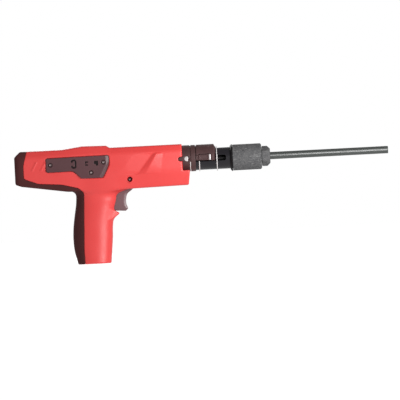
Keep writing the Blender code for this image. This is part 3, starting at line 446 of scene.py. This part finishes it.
def screw_field(head, seat, tip, radius=1.3):
    """A pan-head screw along Y with a sunk cross drive; seat is under its head and tip its far end."""
    def field(x, y, z):
        round_y = np.hypot(x, z)
        dome = np.sqrt(x * x + (y - seat + 2.6) ** 2 + z * z) - 4.1
        top = both(both(round_y - head, dome, 0.25), seat - y)
        arm, width, depth = (-head * 0.55, head * 0.55), (-0.36, 0.36), (seat + 0.5, seat + 4)
        cross = either(block(x, y, z, arm, depth, width, 0.1), block(x, y, z, width, depth, arm, 0.1))
        shank = both(round_y - radius, span(y, *sorted((tip, seat + 0.4))), 0.2)
        return either(without(top, cross, 0.1), shank)
    return field


# --- meshes ---------------------------------------------------------------------------------------

def crossings(grid, cells):
    """The mean place, in cells, at which the surface crosses the edges of each cell."""
    total, hits = np.zeros((len(cells), 3)), np.zeros(len(cells))
    for axis in range(3):
        for b, c in np.ndindex(2, 2):
            start = np.zeros(3, int)
            start[(axis + 1) % 3], start[(axis + 2) % 3] = b, c
            end = start.copy()
            end[axis] = 1
            first, second = grid[tuple((cells + start).T)], grid[tuple((cells + end).T)]
            crosses = (first < 0) != (second < 0)
            t = np.where(crosses, first / np.where(crosses, first - second, 1), 0)
            total += crosses[:, None] * (start + t[:, None] * (end - start))
            hits += crosses
    return cells + total / hits[:, None]


def walls(inside, index):
    """A quad for each grid edge that the surface crosses, facing outwards."""
    n = index.shape
    quads = []
    for axis in range(3):
        b, c = (axis + 1) % 3, (axis + 2) % 3
        ranges = [slice(1, n[k]) for k in range(3)]
        ranges[axis] = slice(0, n[axis])
        ahead = list(ranges)
        ahead[axis] = slice(1, n[axis] + 1)
        here = inside[tuple(ranges)]
        corner = np.argwhere(here != inside[tuple(ahead)])
        outward = here[tuple(corner.T)]
        shift = np.ones(3, int)
        shift[axis] = 0
        corner = corner + shift
        step_b, step_c = np.eye(3, dtype=int)[b], np.eye(3, dtype=int)[c]
        around = [corner, corner - step_b, corner - step_b - step_c, corner - step_c]
        quad = np.stack([index[tuple(cell.T)] for cell in around], axis=1)
        quad[~outward] = quad[~outward][:, ::-1]
        quads.append(quad)
    return np.concatenate(quads)


def sample(field, low, high, step):
    """Points and quads of a field's surface: one point in each cell that it passes through."""
    axes = [np.arange(a - 1.5 * step, b + 2.5 * step, step) for a, b in zip(low, high)]
    full = tuple(len(a) for a in axes)
    grid = field(axes[0][:, None, None], axes[1][None, :, None], axes[2][None, None, :])
    grid = np.ascontiguousarray(np.broadcast_to(grid, full))
    inside = grid < 0
    n = [length - 1 for length in full]
    count = np.zeros(n, np.int8)
    for i, j, k in np.ndindex(2, 2, 2):
        count += inside[i:i + n[0], j:j + n[1], k:k + n[2]]
    cells = np.argwhere((count > 0) & (count < 8))
    index = np.full(n, -1)
    index[tuple(cells.T)] = np.arange(len(cells))
    points = np.array([a[0] for a in axes]) + step * crossings(grid, cells)
    return points, walls(inside, index)


def settle(field, points, step, rounds=3):
    """The points moved along the field's slope onto its surface."""
    h = 0.2 * step
    for _ in range(rounds):
        x, y, z = points.T
        value = field(x, y, z)
        slope = np.stack([(field(x + h, y, z) - field(x - h, y, z)) / (2 * h),
                          (field(x, y + h, z) - field(x, y - h, z)) / (2 * h),
                          (field(x, y, z + h) - field(x, y, z - h)) / (2 * h)], axis=1)
        size = np.maximum((slope ** 2).sum(1), 0.1)
        move = np.clip(value / size, -0.4 * step, 0.4 * step)
        points = points - slope * move[:, None]
    return points


def make_mesh(name, points, faces, sharp=None):
    """A smooth-shaded mesh in metres; edges turning more than sharp degrees stay crisp."""
    mesh = bpy.data.meshes.new(name)
    faces = faces.tolist() if isinstance(faces, np.ndarray) else faces
    mesh.from_pydata((np.asarray(points) * MM).tolist(), [], faces)
    mesh.polygons.foreach_set("use_smooth", np.ones(len(mesh.polygons), bool))
    if sharp:
        mesh.set_sharp_from_angle(angle=math.radians(sharp))
    mesh.validate()
    return mesh


def piece(name, mesh, body, nodes, finish, place=(0, 0, 0)):
    """A finished piece: it rides on a body, stands for CAD nodes and takes the finish it is given."""
    obj = bpy.data.objects.new(name, mesh)
    bpy.context.scene.collection.objects.link(obj)
    obj.location = Vector(place) * MM
    mesh.materials.clear()
    mesh.materials.append(finish)
    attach(obj, body)
    if nodes:
        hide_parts(*nodes)
    return obj


def fielded(name, field, low, high, step):
    """The mesh of a field's surface between two corners, in cells of one size."""
    points, quads = sample(field, low, high, step)
    return make_mesh(name, settle(field, points, step), quads)


def mirrored(field):
    """The same field on the other side of the mid-plane."""
    return lambda x, y, z: field(x, -y, z)


def flipped(mesh, name):
    """A copy of a mesh on the other side of the mid-plane."""
    copy = mesh.copy()
    copy.name = name
    copy.transform(Matrix.Scale(-1, 4, (0, 1, 0)))
    copy.flip_normals()
    return copy


def lathe(name, profile, steps=120, up=0.0, arc=None):
    """A closed profile of (x, radius, fillet) turned about X, all the way round or over an arc."""
    line = rounded(profile, 20)
    start, end = arc or (0.0, 2 * math.pi)
    turns = steps if arc is None else steps + 1
    points = []
    for i in range(turns):
        a = start + (end - start) * i / steps
        points += [(x, r * math.cos(a), r * math.sin(a) + up) for x, r in line]
    count = len(line)
    faces = []
    for i in range(steps):
        here, after = i * count, (i + 1) % turns * count
        for j in range(count):
            k = (j + 1) % count
            faces.append((here + j, after + j, after + k, here + k))
    if arc is not None:
        last = (turns - 1) * count
        faces += [tuple(range(count)), tuple(last + j for j in reversed(range(count)))]
    mesh = make_mesh(name, points, faces, 40)
    turn_outward(mesh)
    return mesh


def coil(name, start, end, radius, wire, turns, up=0.0):
    """A coil spring along X between two places, its end turns closed up, with capped ends."""
    steps_per_turn, around = 32, 10
    count = int(turns * steps_per_turn)
    share = np.linspace(0, 1, count + 1)
    angle = 2 * math.pi * turns * share
    eased = share - 0.35 / turns * np.sin(2 * math.pi * share)
    along = start + wire / 2 + (end - start - wire) * eased
    centre = np.stack([along, radius * np.cos(angle), radius * np.sin(angle) + up], axis=1)
    ahead = np.gradient(centre, axis=0)
    ahead /= np.linalg.norm(ahead, axis=1)[:, None]
    out = np.stack([0 * angle, np.cos(angle), np.sin(angle)], axis=1)
    side = np.cross(ahead, out)
    points, faces = [], []
    for i in range(around):
        turn = 2 * math.pi * i / around
        points.append(centre + wire / 2 * (math.cos(turn) * out + math.sin(turn) * side))
    rows = count + 1
    for i in range(around):
        here, after = i * rows, (i + 1) % around * rows
        faces += [(here + k, here + k + 1, after + k + 1, after + k) for k in range(count)]
    faces.append(tuple(i * rows for i in range(around)))
    faces.append(tuple(i * rows + count for i in reversed(range(around))))
    mesh = make_mesh(name, np.concatenate(points), faces, 50)
    turn_outward(mesh)
    return mesh


def turn_outward(mesh):
    """Faces turned so that the mesh encloses a positive volume."""
    co = np.empty(len(mesh.vertices) * 3)
    mesh.vertices.foreach_get("co", co)
    co = co.reshape(-1, 3)
    mesh.calc_loop_triangles()
    corner = np.array([t.vertices for t in mesh.loop_triangles])
    a, b, c = co[corner[:, 0]], co[corner[:, 1]], co[corner[:, 2]]
    if np.einsum("ij,ij->i", a, np.cross(b, c)).sum() < 0:
        mesh.flip_normals()


# --- materials ------------------------------------------------------------------------------------

class Nodes:
    """A small builder for one material's node tree."""

    def __init__(self, name):
        self.material = bpy.data.materials.new(name)
        self.material.use_nodes = True
        self.tree = self.material.node_tree
        self.shader = self.tree.nodes["Principled BSDF"]
        self.place = self.add("ShaderNodeTexCoord").outputs["Object"]

    def add(self, kind, **settings):
        """A new node of this kind, with its properties set."""
        node = self.tree.nodes.new(kind)
        for key, value in settings.items():
            setattr(node, key, value)
        return node

    def link(self, source, target):
        self.tree.links.new(source, target)

    def noise(self, scale, detail=3.0, roughness=0.5, stretch=None):
        """A noise in the piece's own space; scale counts its waves in a metre."""
        source = self.place
        if stretch:
            mapping = self.add("ShaderNodeMapping")
            mapping.inputs["Scale"].default_value = stretch
            self.link(source, mapping.inputs["Vector"])
            source = mapping.outputs["Vector"]
        node = self.add("ShaderNodeTexNoise")
        node.inputs["Scale"].default_value = scale
        node.inputs["Detail"].default_value = detail
        node.inputs["Roughness"].default_value = roughness
        self.link(source, node.inputs["Vector"])
        return node.outputs["Fac"]

    def span(self, value, low, high, start=0.3, end=0.7):
        """A value from 0 to 1 stretched to run from low to high."""
        node = self.add("ShaderNodeMapRange")
        for key, number in (("From Min", start), ("From Max", end), ("To Min", low), ("To Max", high)):
            node.inputs[key].default_value = number
        self.link(value, node.inputs["Value"])
        return node.outputs["Result"]

    def colours(self, factor, first, second):
        """A mix of two colours, each a tuple or another node's output."""
        node = self.add("ShaderNodeMix", data_type="RGBA")
        self.link(factor, node.inputs["Factor"])
        for socket, colour in (("A", first), ("B", second)):
            target = [s for s in node.inputs if s.name == socket and s.type == "RGBA"][0]
            if isinstance(colour, tuple):
                target.default_value = (*colour, 1)
            else:
                self.link(colour, target)
        return [s for s in node.outputs if s.type == "RGBA"][0]

    def bump(self, height, distance, strength=1.0, under=None):
        """A bump as deep as distance, in metres, on top of another one if that is given."""
        node = self.add("ShaderNodeBump")
        node.inputs["Distance"].default_value = distance
        node.inputs["Strength"].default_value = strength
        self.link(height, node.inputs["Height"])
        if under is not None:
            self.link(under, node.inputs["Normal"])
        return node.outputs["Normal"]

    def finish(self, colour, roughness, normal, **settings):
        """The material, with its varying inputs linked and its even ones set on the shader."""
        self.link(colour, self.shader.inputs["Base Color"])
        self.link(roughness, self.shader.inputs["Roughness"])
        self.link(normal, self.shader.inputs["Normal"])
        for key, value in settings.items():
            self.shader.inputs[key.replace("_", " ")].default_value = value
        return self.material


def plastic(name, light, dark, rough, grain, depth, **settings):
    """A moulded plastic or rubber: a slow drift of colour, a fine moulded grain and uneven sheen."""
    n = Nodes(name)
    drift = n.span(n.noise(14, 3), 0.0, 1.0)
    colour = n.colours(drift, dark, light)
    speck = n.span(n.noise(900, 2), 0.0, 0.16, 0.55, 0.75)
    colour = n.colours(speck, colour, tuple(0.5 * c for c in dark))
    sheen = n.span(n.noise(60, 5, 0.65), rough - 0.05, rough + 0.07)
    normal = n.bump(n.noise(grain, 3, 0.6), depth, 0.5)
    normal = n.bump(n.noise(9, 2), 0.0006, 0.18, normal)
    return n.finish(colour, sheen, normal, **settings)


def metal(name, light, dark, rough, grain, depth, stretch=None, worn=None, **settings):
    """A machined or coated metal: blotchy tone, tool marks along the stretch, and rubbed spots."""
    n = Nodes(name)
    colour = n.colours(n.span(n.noise(45, 5, 0.6), 0.0, 1.0), dark, light)
    marks = n.noise(grain, 4, 0.6, stretch)
    colour = n.colours(n.span(marks, 0.0, 0.5, 0.45, 0.75), colour, tuple(1.25 * c for c in light))
    if worn:
        rub = n.span(n.noise(130, 6, 0.7), 0.0, 0.7, 0.62, 0.74)
        colour = n.colours(rub, colour, worn)
    sheen = n.span(n.noise(120, 4, 0.6), rough - 0.06, rough + 0.1)
    return n.finish(colour, sheen, n.bump(marks, depth, 0.6), **settings)


def coated(name):
    """The sleeve's thick matt coating: fine pale grain on dark grey, with slanting scuffs."""
    n = Nodes(name)
    colour = n.colours(n.span(n.noise(60, 5, 0.7), 0.0, 1.0, 0.35, 0.65), (0.074, 0.074, 0.078),
                       (0.108, 0.106, 0.108))
    grain = n.span(n.noise(800, 3, 0.75), 0.0, 0.62, 0.5, 0.66)
    colour = n.colours(grain, colour, (0.23, 0.225, 0.225))
    pits = n.span(n.noise(430, 2, 0.5), 0.0, 0.8, 0.6, 0.72)
    colour = n.colours(pits, colour, (0.040, 0.040, 0.043))
    streak = n.span(n.noise(150, 4, 0.6, (1.0, 1.0, 4.5)), 0.0, 0.8, 0.6, 0.66)
    colour = n.colours(streak, colour, (0.27, 0.27, 0.265))
    normal = n.bump(n.noise(600, 4, 0.7), 0.0003, 0.8)
    return n.finish(colour, n.span(n.noise(200, 3), 0.55, 0.75), normal, Specular_IOR_Level=0.3)


def screw_steel(name):
    """A browned screw with a painted glint at the middle of its head: the tone follows the distance from
    its axis.
    """
    n = Nodes(name)
    flat = n.add("ShaderNodeVectorMath", operation="MULTIPLY")
    flat.inputs[1].default_value = (1, 0, 1)
    n.link(n.place, flat.inputs[0])
    radius = n.add("ShaderNodeVectorMath", operation="LENGTH")
    n.link(flat.outputs["Vector"], radius.inputs[0])
    # Painted glint: within about a millimetre of the axis the head turns near-white.
    worn = n.span(radius.outputs["Value"], 0.0, 1.0, 0.0006, 0.0011)
    speck = n.span(n.noise(900, 4), 0.0, 1.0)
    dark = n.colours(speck, (0.060, 0.034, 0.035), (0.105, 0.070, 0.070))
    colour = n.colours(worn, (0.80, 0.66, 0.66), dark)
    return n.finish(colour, n.span(n.noise(700, 3), 0.32, 0.5), n.bump(n.noise(1500, 3), 0.00004),
                    Metallic=0.4)


RED = plastic("red_satin_plastic", (0.88, 0.058, 0.055), (0.83, 0.047, 0.044), 0.38, 1500, 0.00010,
              Specular_IOR_Level=0.72)
SKIN = plastic("dark_rubber", (0.092, 0.026, 0.026), (0.072, 0.020, 0.020), 0.66, 1100, 0.0002,
               Specular_IOR_Level=0.12)
BROWN = plastic("brown_grey_plastic", (0.110, 0.042, 0.048), (0.088, 0.034, 0.038), 0.38, 1300, 0.00015,
                Specular_IOR_Level=0.5)
LEVER = plastic("trigger_plastic", (0.190, 0.095, 0.105), (0.160, 0.080, 0.088), 0.36, 1300, 0.00015,
                Specular_IOR_Level=0.7)
# Near-black filling laid in the pictogram's recess, far darker than the plate around it.
MARK = plastic("pictogram_dark_filling", (0.016, 0.010, 0.011), (0.010, 0.007, 0.008), 0.6, 1300, 0.0001,
               Specular_IOR_Level=0.15)
BLACKENED = metal("blackened_steel", (0.090, 0.044, 0.044), (0.062, 0.030, 0.030), 0.42, 500, 0.00008,
                  (1, 6, 6), (0.17, 0.12, 0.12), Metallic=0.1, Specular_IOR_Level=0.35)
BARREL_BLACK = metal("barrel_black", (0.013, 0.011, 0.015), (0.008, 0.007, 0.010), 0.22, 400, 0.00003,
                     (8, 1, 1), Specular_IOR_Level=0.45)
JET = metal("jet_black_steel", (0.010, 0.009, 0.010), (0.006, 0.005, 0.006), 0.45, 500, 0.00006,
            (8, 1, 1), Specular_IOR_Level=0.12)
TUBE = metal("satin_tube_steel", (0.052, 0.058, 0.054), (0.040, 0.045, 0.042), 0.27, 300, 0.00002,
             (10, 1, 1), Specular_IOR_Level=0.75)
# Near-black steel for the piston: the dark seen through the barrel's slot is painted shade on it.
SLOT_SHADE_STEEL = metal("piston_steel_darkened_as_slot_shade", (0.030, 0.028, 0.029), (0.018, 0.017, 0.018), 0.34, 400, 0.00004,
              (8, 1, 1), Metallic=0.3, Specular_IOR_Level=0.3)
BRIGHT = metal("bright_steel", (0.78, 0.74, 0.73), (0.58, 0.54, 0.54), 0.28, 500, 0.00004,
               (6, 1, 1), Metallic=0.5)
# Near-white ring steel: where it lies in the collar's groove it is a painted highlight; the barrel's two
# spring rings take it too.
RING = metal("ring_steel_and_painted_highlight", (0.86, 0.83, 0.82), (0.70, 0.67, 0.66), 0.35, 500, 0.00003,
             Metallic=0.2)
SPRING = metal("spring_steel", (0.30, 0.29, 0.28), (0.20, 0.19, 0.19), 0.35, 600, 0.00004, Metallic=0.8)
AMBER = plastic("amber_polyurethane", (0.52, 0.24, 0.05), (0.42, 0.18, 0.03), 0.5, 700, 0.0002)
SCREW = screw_steel("screw_steel_painted_glint")
COATING = coated("grey_sleeve_coating")

SLOT_FINISH = {
    "red_plastic": RED, "soft_rubber": SKIN, "plate_plastic": BROWN, "blackened_steel": BLACKENED,
    "sleeve_coating": COATING, "tube_steel": TUBE, "bright_steel": BRIGHT, "spring_steel": SPRING,
    "polyurethane": AMBER}


# --- pieces ---------------------------------------------------------------------------------------

def both_sides(word, field, low, high, step, finish, node=""):
    """A piece on the tool's right and its mirror image on the left, each with its own CAD node."""
    right = fielded(f"{word}_right", mirrored(field), low, high, step)
    left = flipped(right, f"{word}_left")
    for side, mesh in (("right", right), ("left", left)):
        nodes = [f"{side}_{node}"] if node else []
        piece(f"{word}_{side}", mesh, "housing", nodes, finish)


def make_housing():
    """The two shells, the soft skin, the side plates with their pictograms, and the trigger."""
    step = 0.85
    both_sides("shell", shell_field, (-1, -26, -132), (234, 0, 26), step, RED,
               "shell")
    skin = fielded("backstrap", backstrap_field, (-1, -26, -132), (92, 26, 24), step)
    piece("backstrap", skin, "housing", ["rubber_backstrap"], SKIN)
    both_sides("plate", plate_field, (42, -26, -18.5), (127, -23, 12), 0.4, BROWN,
               "side_plate")
    both_sides("plate_marks", mark_field, (75, -26, -5), (112.5, -24.6, 9), 0.3, MARK)
    blade = fielded("trigger_blade", trigger_field, (126, -5.6, -64), (159, 5.6, -18), 0.45)
    piece("trigger_blade", blade, "trigger", ["trigger"], LEVER)


def make_screws():
    """Three screws in each side plate, and the long one that the trigger turns on."""
    seat = PLATE_FACE_Y - 1.4
    right = fielded("plate_screw", mirrored(screw_field(2.3, seat, 18.8)),
                    (-2.8, -26.5, -2.8), (2.8, -18.6, 2.8), 0.2)
    left = flipped(right, "plate_screw_left")
    for word, mesh in (("right", right), ("left", left)):
        for number, (x, z) in enumerate(PLATE_SCREWS, 1):
            piece(f"plate_screw_{word}_{number}", mesh, "housing", [f"{word}_plate_screw_{number}"],
                  SCREW, (x, 0, z))
    x, z = TRIGGER_PIVOT
    pivot = fielded("pivot_screw", mirrored(screw_field(3.0, 16.8, -19.2, 1.6)),
                    (-3.2, -18.6, -3.2), (3.2, 19.4, 3.2), 0.3)
    piece("pivot_screw", pivot, "housing", ["trigger_pivot_screw"], SCREW, (x, 0, z))


def ring_profile(start, end, outer):
    """The rounded section of a spring ring that sits on the barrel."""
    inner = BARREL_R + GAP
    return [(x, r, 0.35) for x, r in ((start, outer), (end, outer), (end, inner), (start, inner))]


def make_rings():
    """The clip in the collar's groove, drawn near-white over its lower arc only as a painted highlight,
    and the two spring rings on the barrel.
    """
    # Only the lower arc of the clip is drawn, near-white: a painted highlight in the groove.
    clip = lathe("snap_clip", [(233.5, 17.45, 0.2), (234.5, 17.45, 0.2), (234.5, 16.8, 0.1),
                               (233.5, 16.8, 0.1)],
                 60, COLLAR_Z, (math.radians(196), math.radians(344)))
    piece("snap_clip", clip, "housing", ["collar_snap_ring"], RING)
    front = lathe("front_ring", ring_profile(268.7, 269.9, 16.3))
    piece("front_ring", front, "housing", ["front_retaining_ring"], RING)
    low = math.asin((-COVER_EDGE_Z + GAP) / 15.0)  # where the ring meets the cover's lower edge
    lower = lathe("lower_ring", ring_profile(245.3, 246.5, 15.9), 70, 0,
                  (math.pi + low, 2 * math.pi - low))
    piece("lower_ring", lower, "housing", ["lower_retaining_ring"], RING)


def make_front():
    """The receiver's collar, the half cover, the stop lever in its window, the pin and the rings."""
    step = 0.55
    mesh = fielded("receiver_collar", receiver_field, (116, -20.8, -18), (241, 20.8, 19.6), step)
    piece("receiver_collar", mesh, "housing", ["receiver"], BLACKENED)
    mesh = fielded("barrel_cover", cover_field, (240.8, -17.6, -2.5), (COVER_X[1], 17.6, 19.6), 0.4)
    piece("barrel_cover", mesh, "housing", ["half_cover"], BLACKENED)
    mesh = fielded("catch_bar", catch_field, (245, -18, -2), (259, -6.6, 6.3), 0.3)
    piece("catch_bar", mesh, "piston_catch", ["piston_catch"], BLACKENED)
    # The stop lever's front end is a separate bright steel piece: a painted highlight on the edge that
    # faces the key light.
    mesh = fielded("catch_bright_end", catch_highlight_end_field, (258.8, -18, -2), (261.4, -6.6, 6.3), 0.3)
    piece("catch_bright_end", mesh, "piston_catch", [], BRIGHT)
    mesh = fielded("catch_guide", guide_field, (241, -18, -2.2), (245.2, -14, 5.4), 0.3)
    piece("catch_guide", mesh, "housing", [], BLACKENED)
    mesh = fielded("lock_pin", lock_pin_field, (225.8, -18, -2.2), (231.2, -16, 4.8), 0.25)
    piece("lock_pin", mesh, "housing", ["collar_lock_pin"], BRIGHT)
    make_rings()


def make_barrel():
    """The barrel and all that is fixed to it: black collar, coated sleeve, nut and nose tube."""
    step = 0.6
    mesh = fielded("barrel", barrel_field, (127, -14.3, -14.3), (300, 14.3, 14.3), step)
    piece("barrel", mesh, "barrel", ["barrel_tube"], BARREL_BLACK)
    inner = BARREL_R + GAP
    mesh = lathe("muffler_collar", [(286.9, 15.4, 0.3), (288.9, 17.7, 0.5), (290.1, 17.7, 0.4),
                                    (290.1, inner, 0.1), (286.9, inner, 0.3)])
    piece("muffler_collar", mesh, "barrel", ["sleeve_collar"], JET)
    mesh = lathe("muffler", [
        (290.4, 17.2, 0.4), (327.2, 17.2, 0.5), (328.8, 15.6, 0.4), (328.8, 8.3, 0.1), (305.3, 8.3, 0.1),
        (305.3, 12.3, 0.1), (300.3, 12.3, 0.1), (300.3, inner, 0.1), (290.4, inner, 0.1)])
    piece("muffler", mesh, "barrel", ["muffler_sleeve"], COATING)
    mesh = fielded("nut", nut_field, (326, -13.6, -13.6), (340.4, 13.6, 13.6), 0.35)
    piece("nut", mesh, "barrel", ["nose_nut"], COATING)
    mesh = lathe("tube", [
        (300.4, 12.0, 0.3), (305, 12.0, 0.3), (305, 8.0, 0.2), (325.7, 8.0, 0.2), (325.7, 4.9, 0.1),
        (496.4, 4.9, 0.3), (497, 4.5, 0.1), (497, 3.9, 0.1), (300.4, 3.9, 0.2)], 72)
    piece("tube", mesh, "barrel", ["nose_tube"], TUBE)


def make_spring(name, node, ends, radius, wire, turns, up=0.0):
    """A coil spring fixed in the housing, standing for its CAD node, with a mesh of its own."""
    mesh = coil(name, *ends, radius, wire, turns, up)
    spring = piece(name, mesh, "housing", [node], SPRING)
    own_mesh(spring)


def make_springs():
    """The springs of the carrier, the striker and the trigger, all hidden inside."""
    make_spring("spring_press", "press_spring", (118.6, 149.7), 15.4, 1.5, 5)
    make_spring("spring_firing", "firing_spring", (20.0, 58.2), 7.6, 1.8, 6)
    make_spring("spring_trigger", "trigger_spring", (113.4, 131.2), 2.4, 0.9, 5,
                TRIGGER_SPRING_Z)


def finish_cad_nodes():
    """The CAD nodes that stay, inside the tool, take the same materials."""
    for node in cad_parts.values():
        packed = node.data.materials[0].name.split(".")[0]
        node.data.materials[0] = SLOT_FINISH[packed]
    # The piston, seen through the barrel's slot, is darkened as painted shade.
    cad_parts["piston"].data.materials[0] = SLOT_SHADE_STEEL


# --- stage, light and camera ----------------------------------------------------------------------

FLOOR_REACH = 6.0         # metres from the origin to each edge
FLOOR_GLOW = 0.76
LIGHT_FROM_BELOW = 0.72
LIGHT_FROM_ABOVE = 0.26
CAMERA_DISTANCE = 8.0     # metres
CAMERA_AIM = (0.2441, 0, -0.0541)
CAMERA_ROLL = 2.95        # degrees
VIEW_WIDTH = 0.5315       # metres across the picture at the tool's mid-plane
SENSOR = 36


def make_floor():
    """A pale floor just under the grip's foot, which doesn't light or darken the tool."""
    mesh = bpy.data.meshes.new("floor")
    reach, level = FLOOR_REACH, FOOT_Z * MM - 0.0005
    mesh.from_pydata([(-reach, -reach, level), (reach, -reach, level), (reach, reach, level),
                      (-reach, reach, level)], [], [(0, 1, 2, 3)])
    floor = bpy.data.objects.new("floor", mesh)
    bpy.context.scene.collection.objects.link(floor)
    n = Nodes("pale_floor")
    colour = n.colours(n.span(n.noise(3, 2), 0.0, 1.0), (0.80, 0.80, 0.80), (0.84, 0.84, 0.84))
    n.link(colour, n.shader.inputs["Base Color"])
    n.shader.inputs["Roughness"].default_value = 0.9
    n.shader.inputs["Emission Color"].default_value = (1, 1, 1, 1)
    n.shader.inputs["Emission Strength"].default_value = FLOOR_GLOW
    mesh.materials.append(n.material)
    floor.visible_diffuse = floor.visible_glossy = floor.visible_shadow = False


def make_world():
    """Soft white light, stronger from below than from above, in front of a plain white backdrop."""
    world = bpy.data.worlds.new("studio")
    world.use_nodes = True
    tree = world.node_tree
    back = tree.nodes["Background"]
    back.inputs["Color"].default_value = (1, 1, 1, 1)
    place = tree.nodes.new("ShaderNodeTexCoord")
    split = tree.nodes.new("ShaderNodeSeparateXYZ")
    fade = tree.nodes.new("ShaderNodeMapRange")
    for key, number in (("From Min", -1.0), ("From Max", 1.0), ("To Min", LIGHT_FROM_BELOW),
                        ("To Max", LIGHT_FROM_ABOVE)):
        fade.inputs[key].default_value = number
    tree.links.new(place.outputs["Generated"], split.inputs["Vector"])
    tree.links.new(split.outputs["Z"], fade.inputs["Value"])
    tree.links.new(fade.outputs["Result"], back.inputs["Strength"])
    seen = tree.nodes.new("ShaderNodeBackground")
    seen.inputs["Strength"].default_value = 1.0
    seen.inputs["Color"].default_value = (1, 1, 1, 1)
    rays = tree.nodes.new("ShaderNodeLightPath")
    mix = tree.nodes.new("ShaderNodeMixShader")
    tree.links.new(rays.outputs["Is Camera Ray"], mix.inputs[0])
    tree.links.new(back.outputs[0], mix.inputs[1])
    tree.links.new(seen.outputs[0], mix.inputs[2])
    tree.links.new(mix.outputs[0], tree.nodes["World Output"].inputs["Surface"])
    bpy.context.scene.world = world


def area_light(name, place, aim, size, power):
    """A round soft light that the camera doesn't see; places and size in metres, power in watts."""
    data = bpy.data.lights.new(name, "AREA")
    data.shape = "DISK"
    data.size = size
    data.energy = power
    light = bpy.data.objects.new(name, data)
    light.location = place
    light.visible_camera = False
    light.rotation_euler = (Vector(aim) - Vector(place)).to_track_quat("-Z", "Y").to_euler()
    bpy.context.scene.collection.objects.link(light)


def make_camera():
    """A distant camera square to the tool's right-hand side, rolled a little about its own axis."""
    centre = Vector(CAMERA_AIM)
    data = bpy.data.cameras.new("camera")
    data.sensor_width = SENSOR
    data.lens = SENSOR * CAMERA_DISTANCE / VIEW_WIDTH
    camera = bpy.data.objects.new("camera", data)
    tilt = math.radians(CAMERA_ROLL)
    right = Vector((math.cos(tilt), 0, -math.sin(tilt)))
    up = Vector((math.sin(tilt), 0, math.cos(tilt)))
    back = Vector((0, -1, 0))
    turn = Matrix((right, up, back)).transposed().to_4x4()
    camera.matrix_world = Matrix.Translation(centre + back * CAMERA_DISTANCE) @ turn
    bpy.context.scene.collection.objects.link(camera)
    bpy.context.scene.camera = camera


make_camera()
make_world()
make_floor()
area_light("key", (0.56, -0.5, 0.04), (0.2, 0, -0.03), 0.4, 3.2)
area_light("back_fill", (-0.3, 1.2, 0.6), (0.15, 0, 0), 0.9, 7)
make_housing()
make_screws()
make_front()
make_barrel()
make_springs()
finish_cad_nodes()
bpy.context.scene.view_settings.view_transform = "Standard"
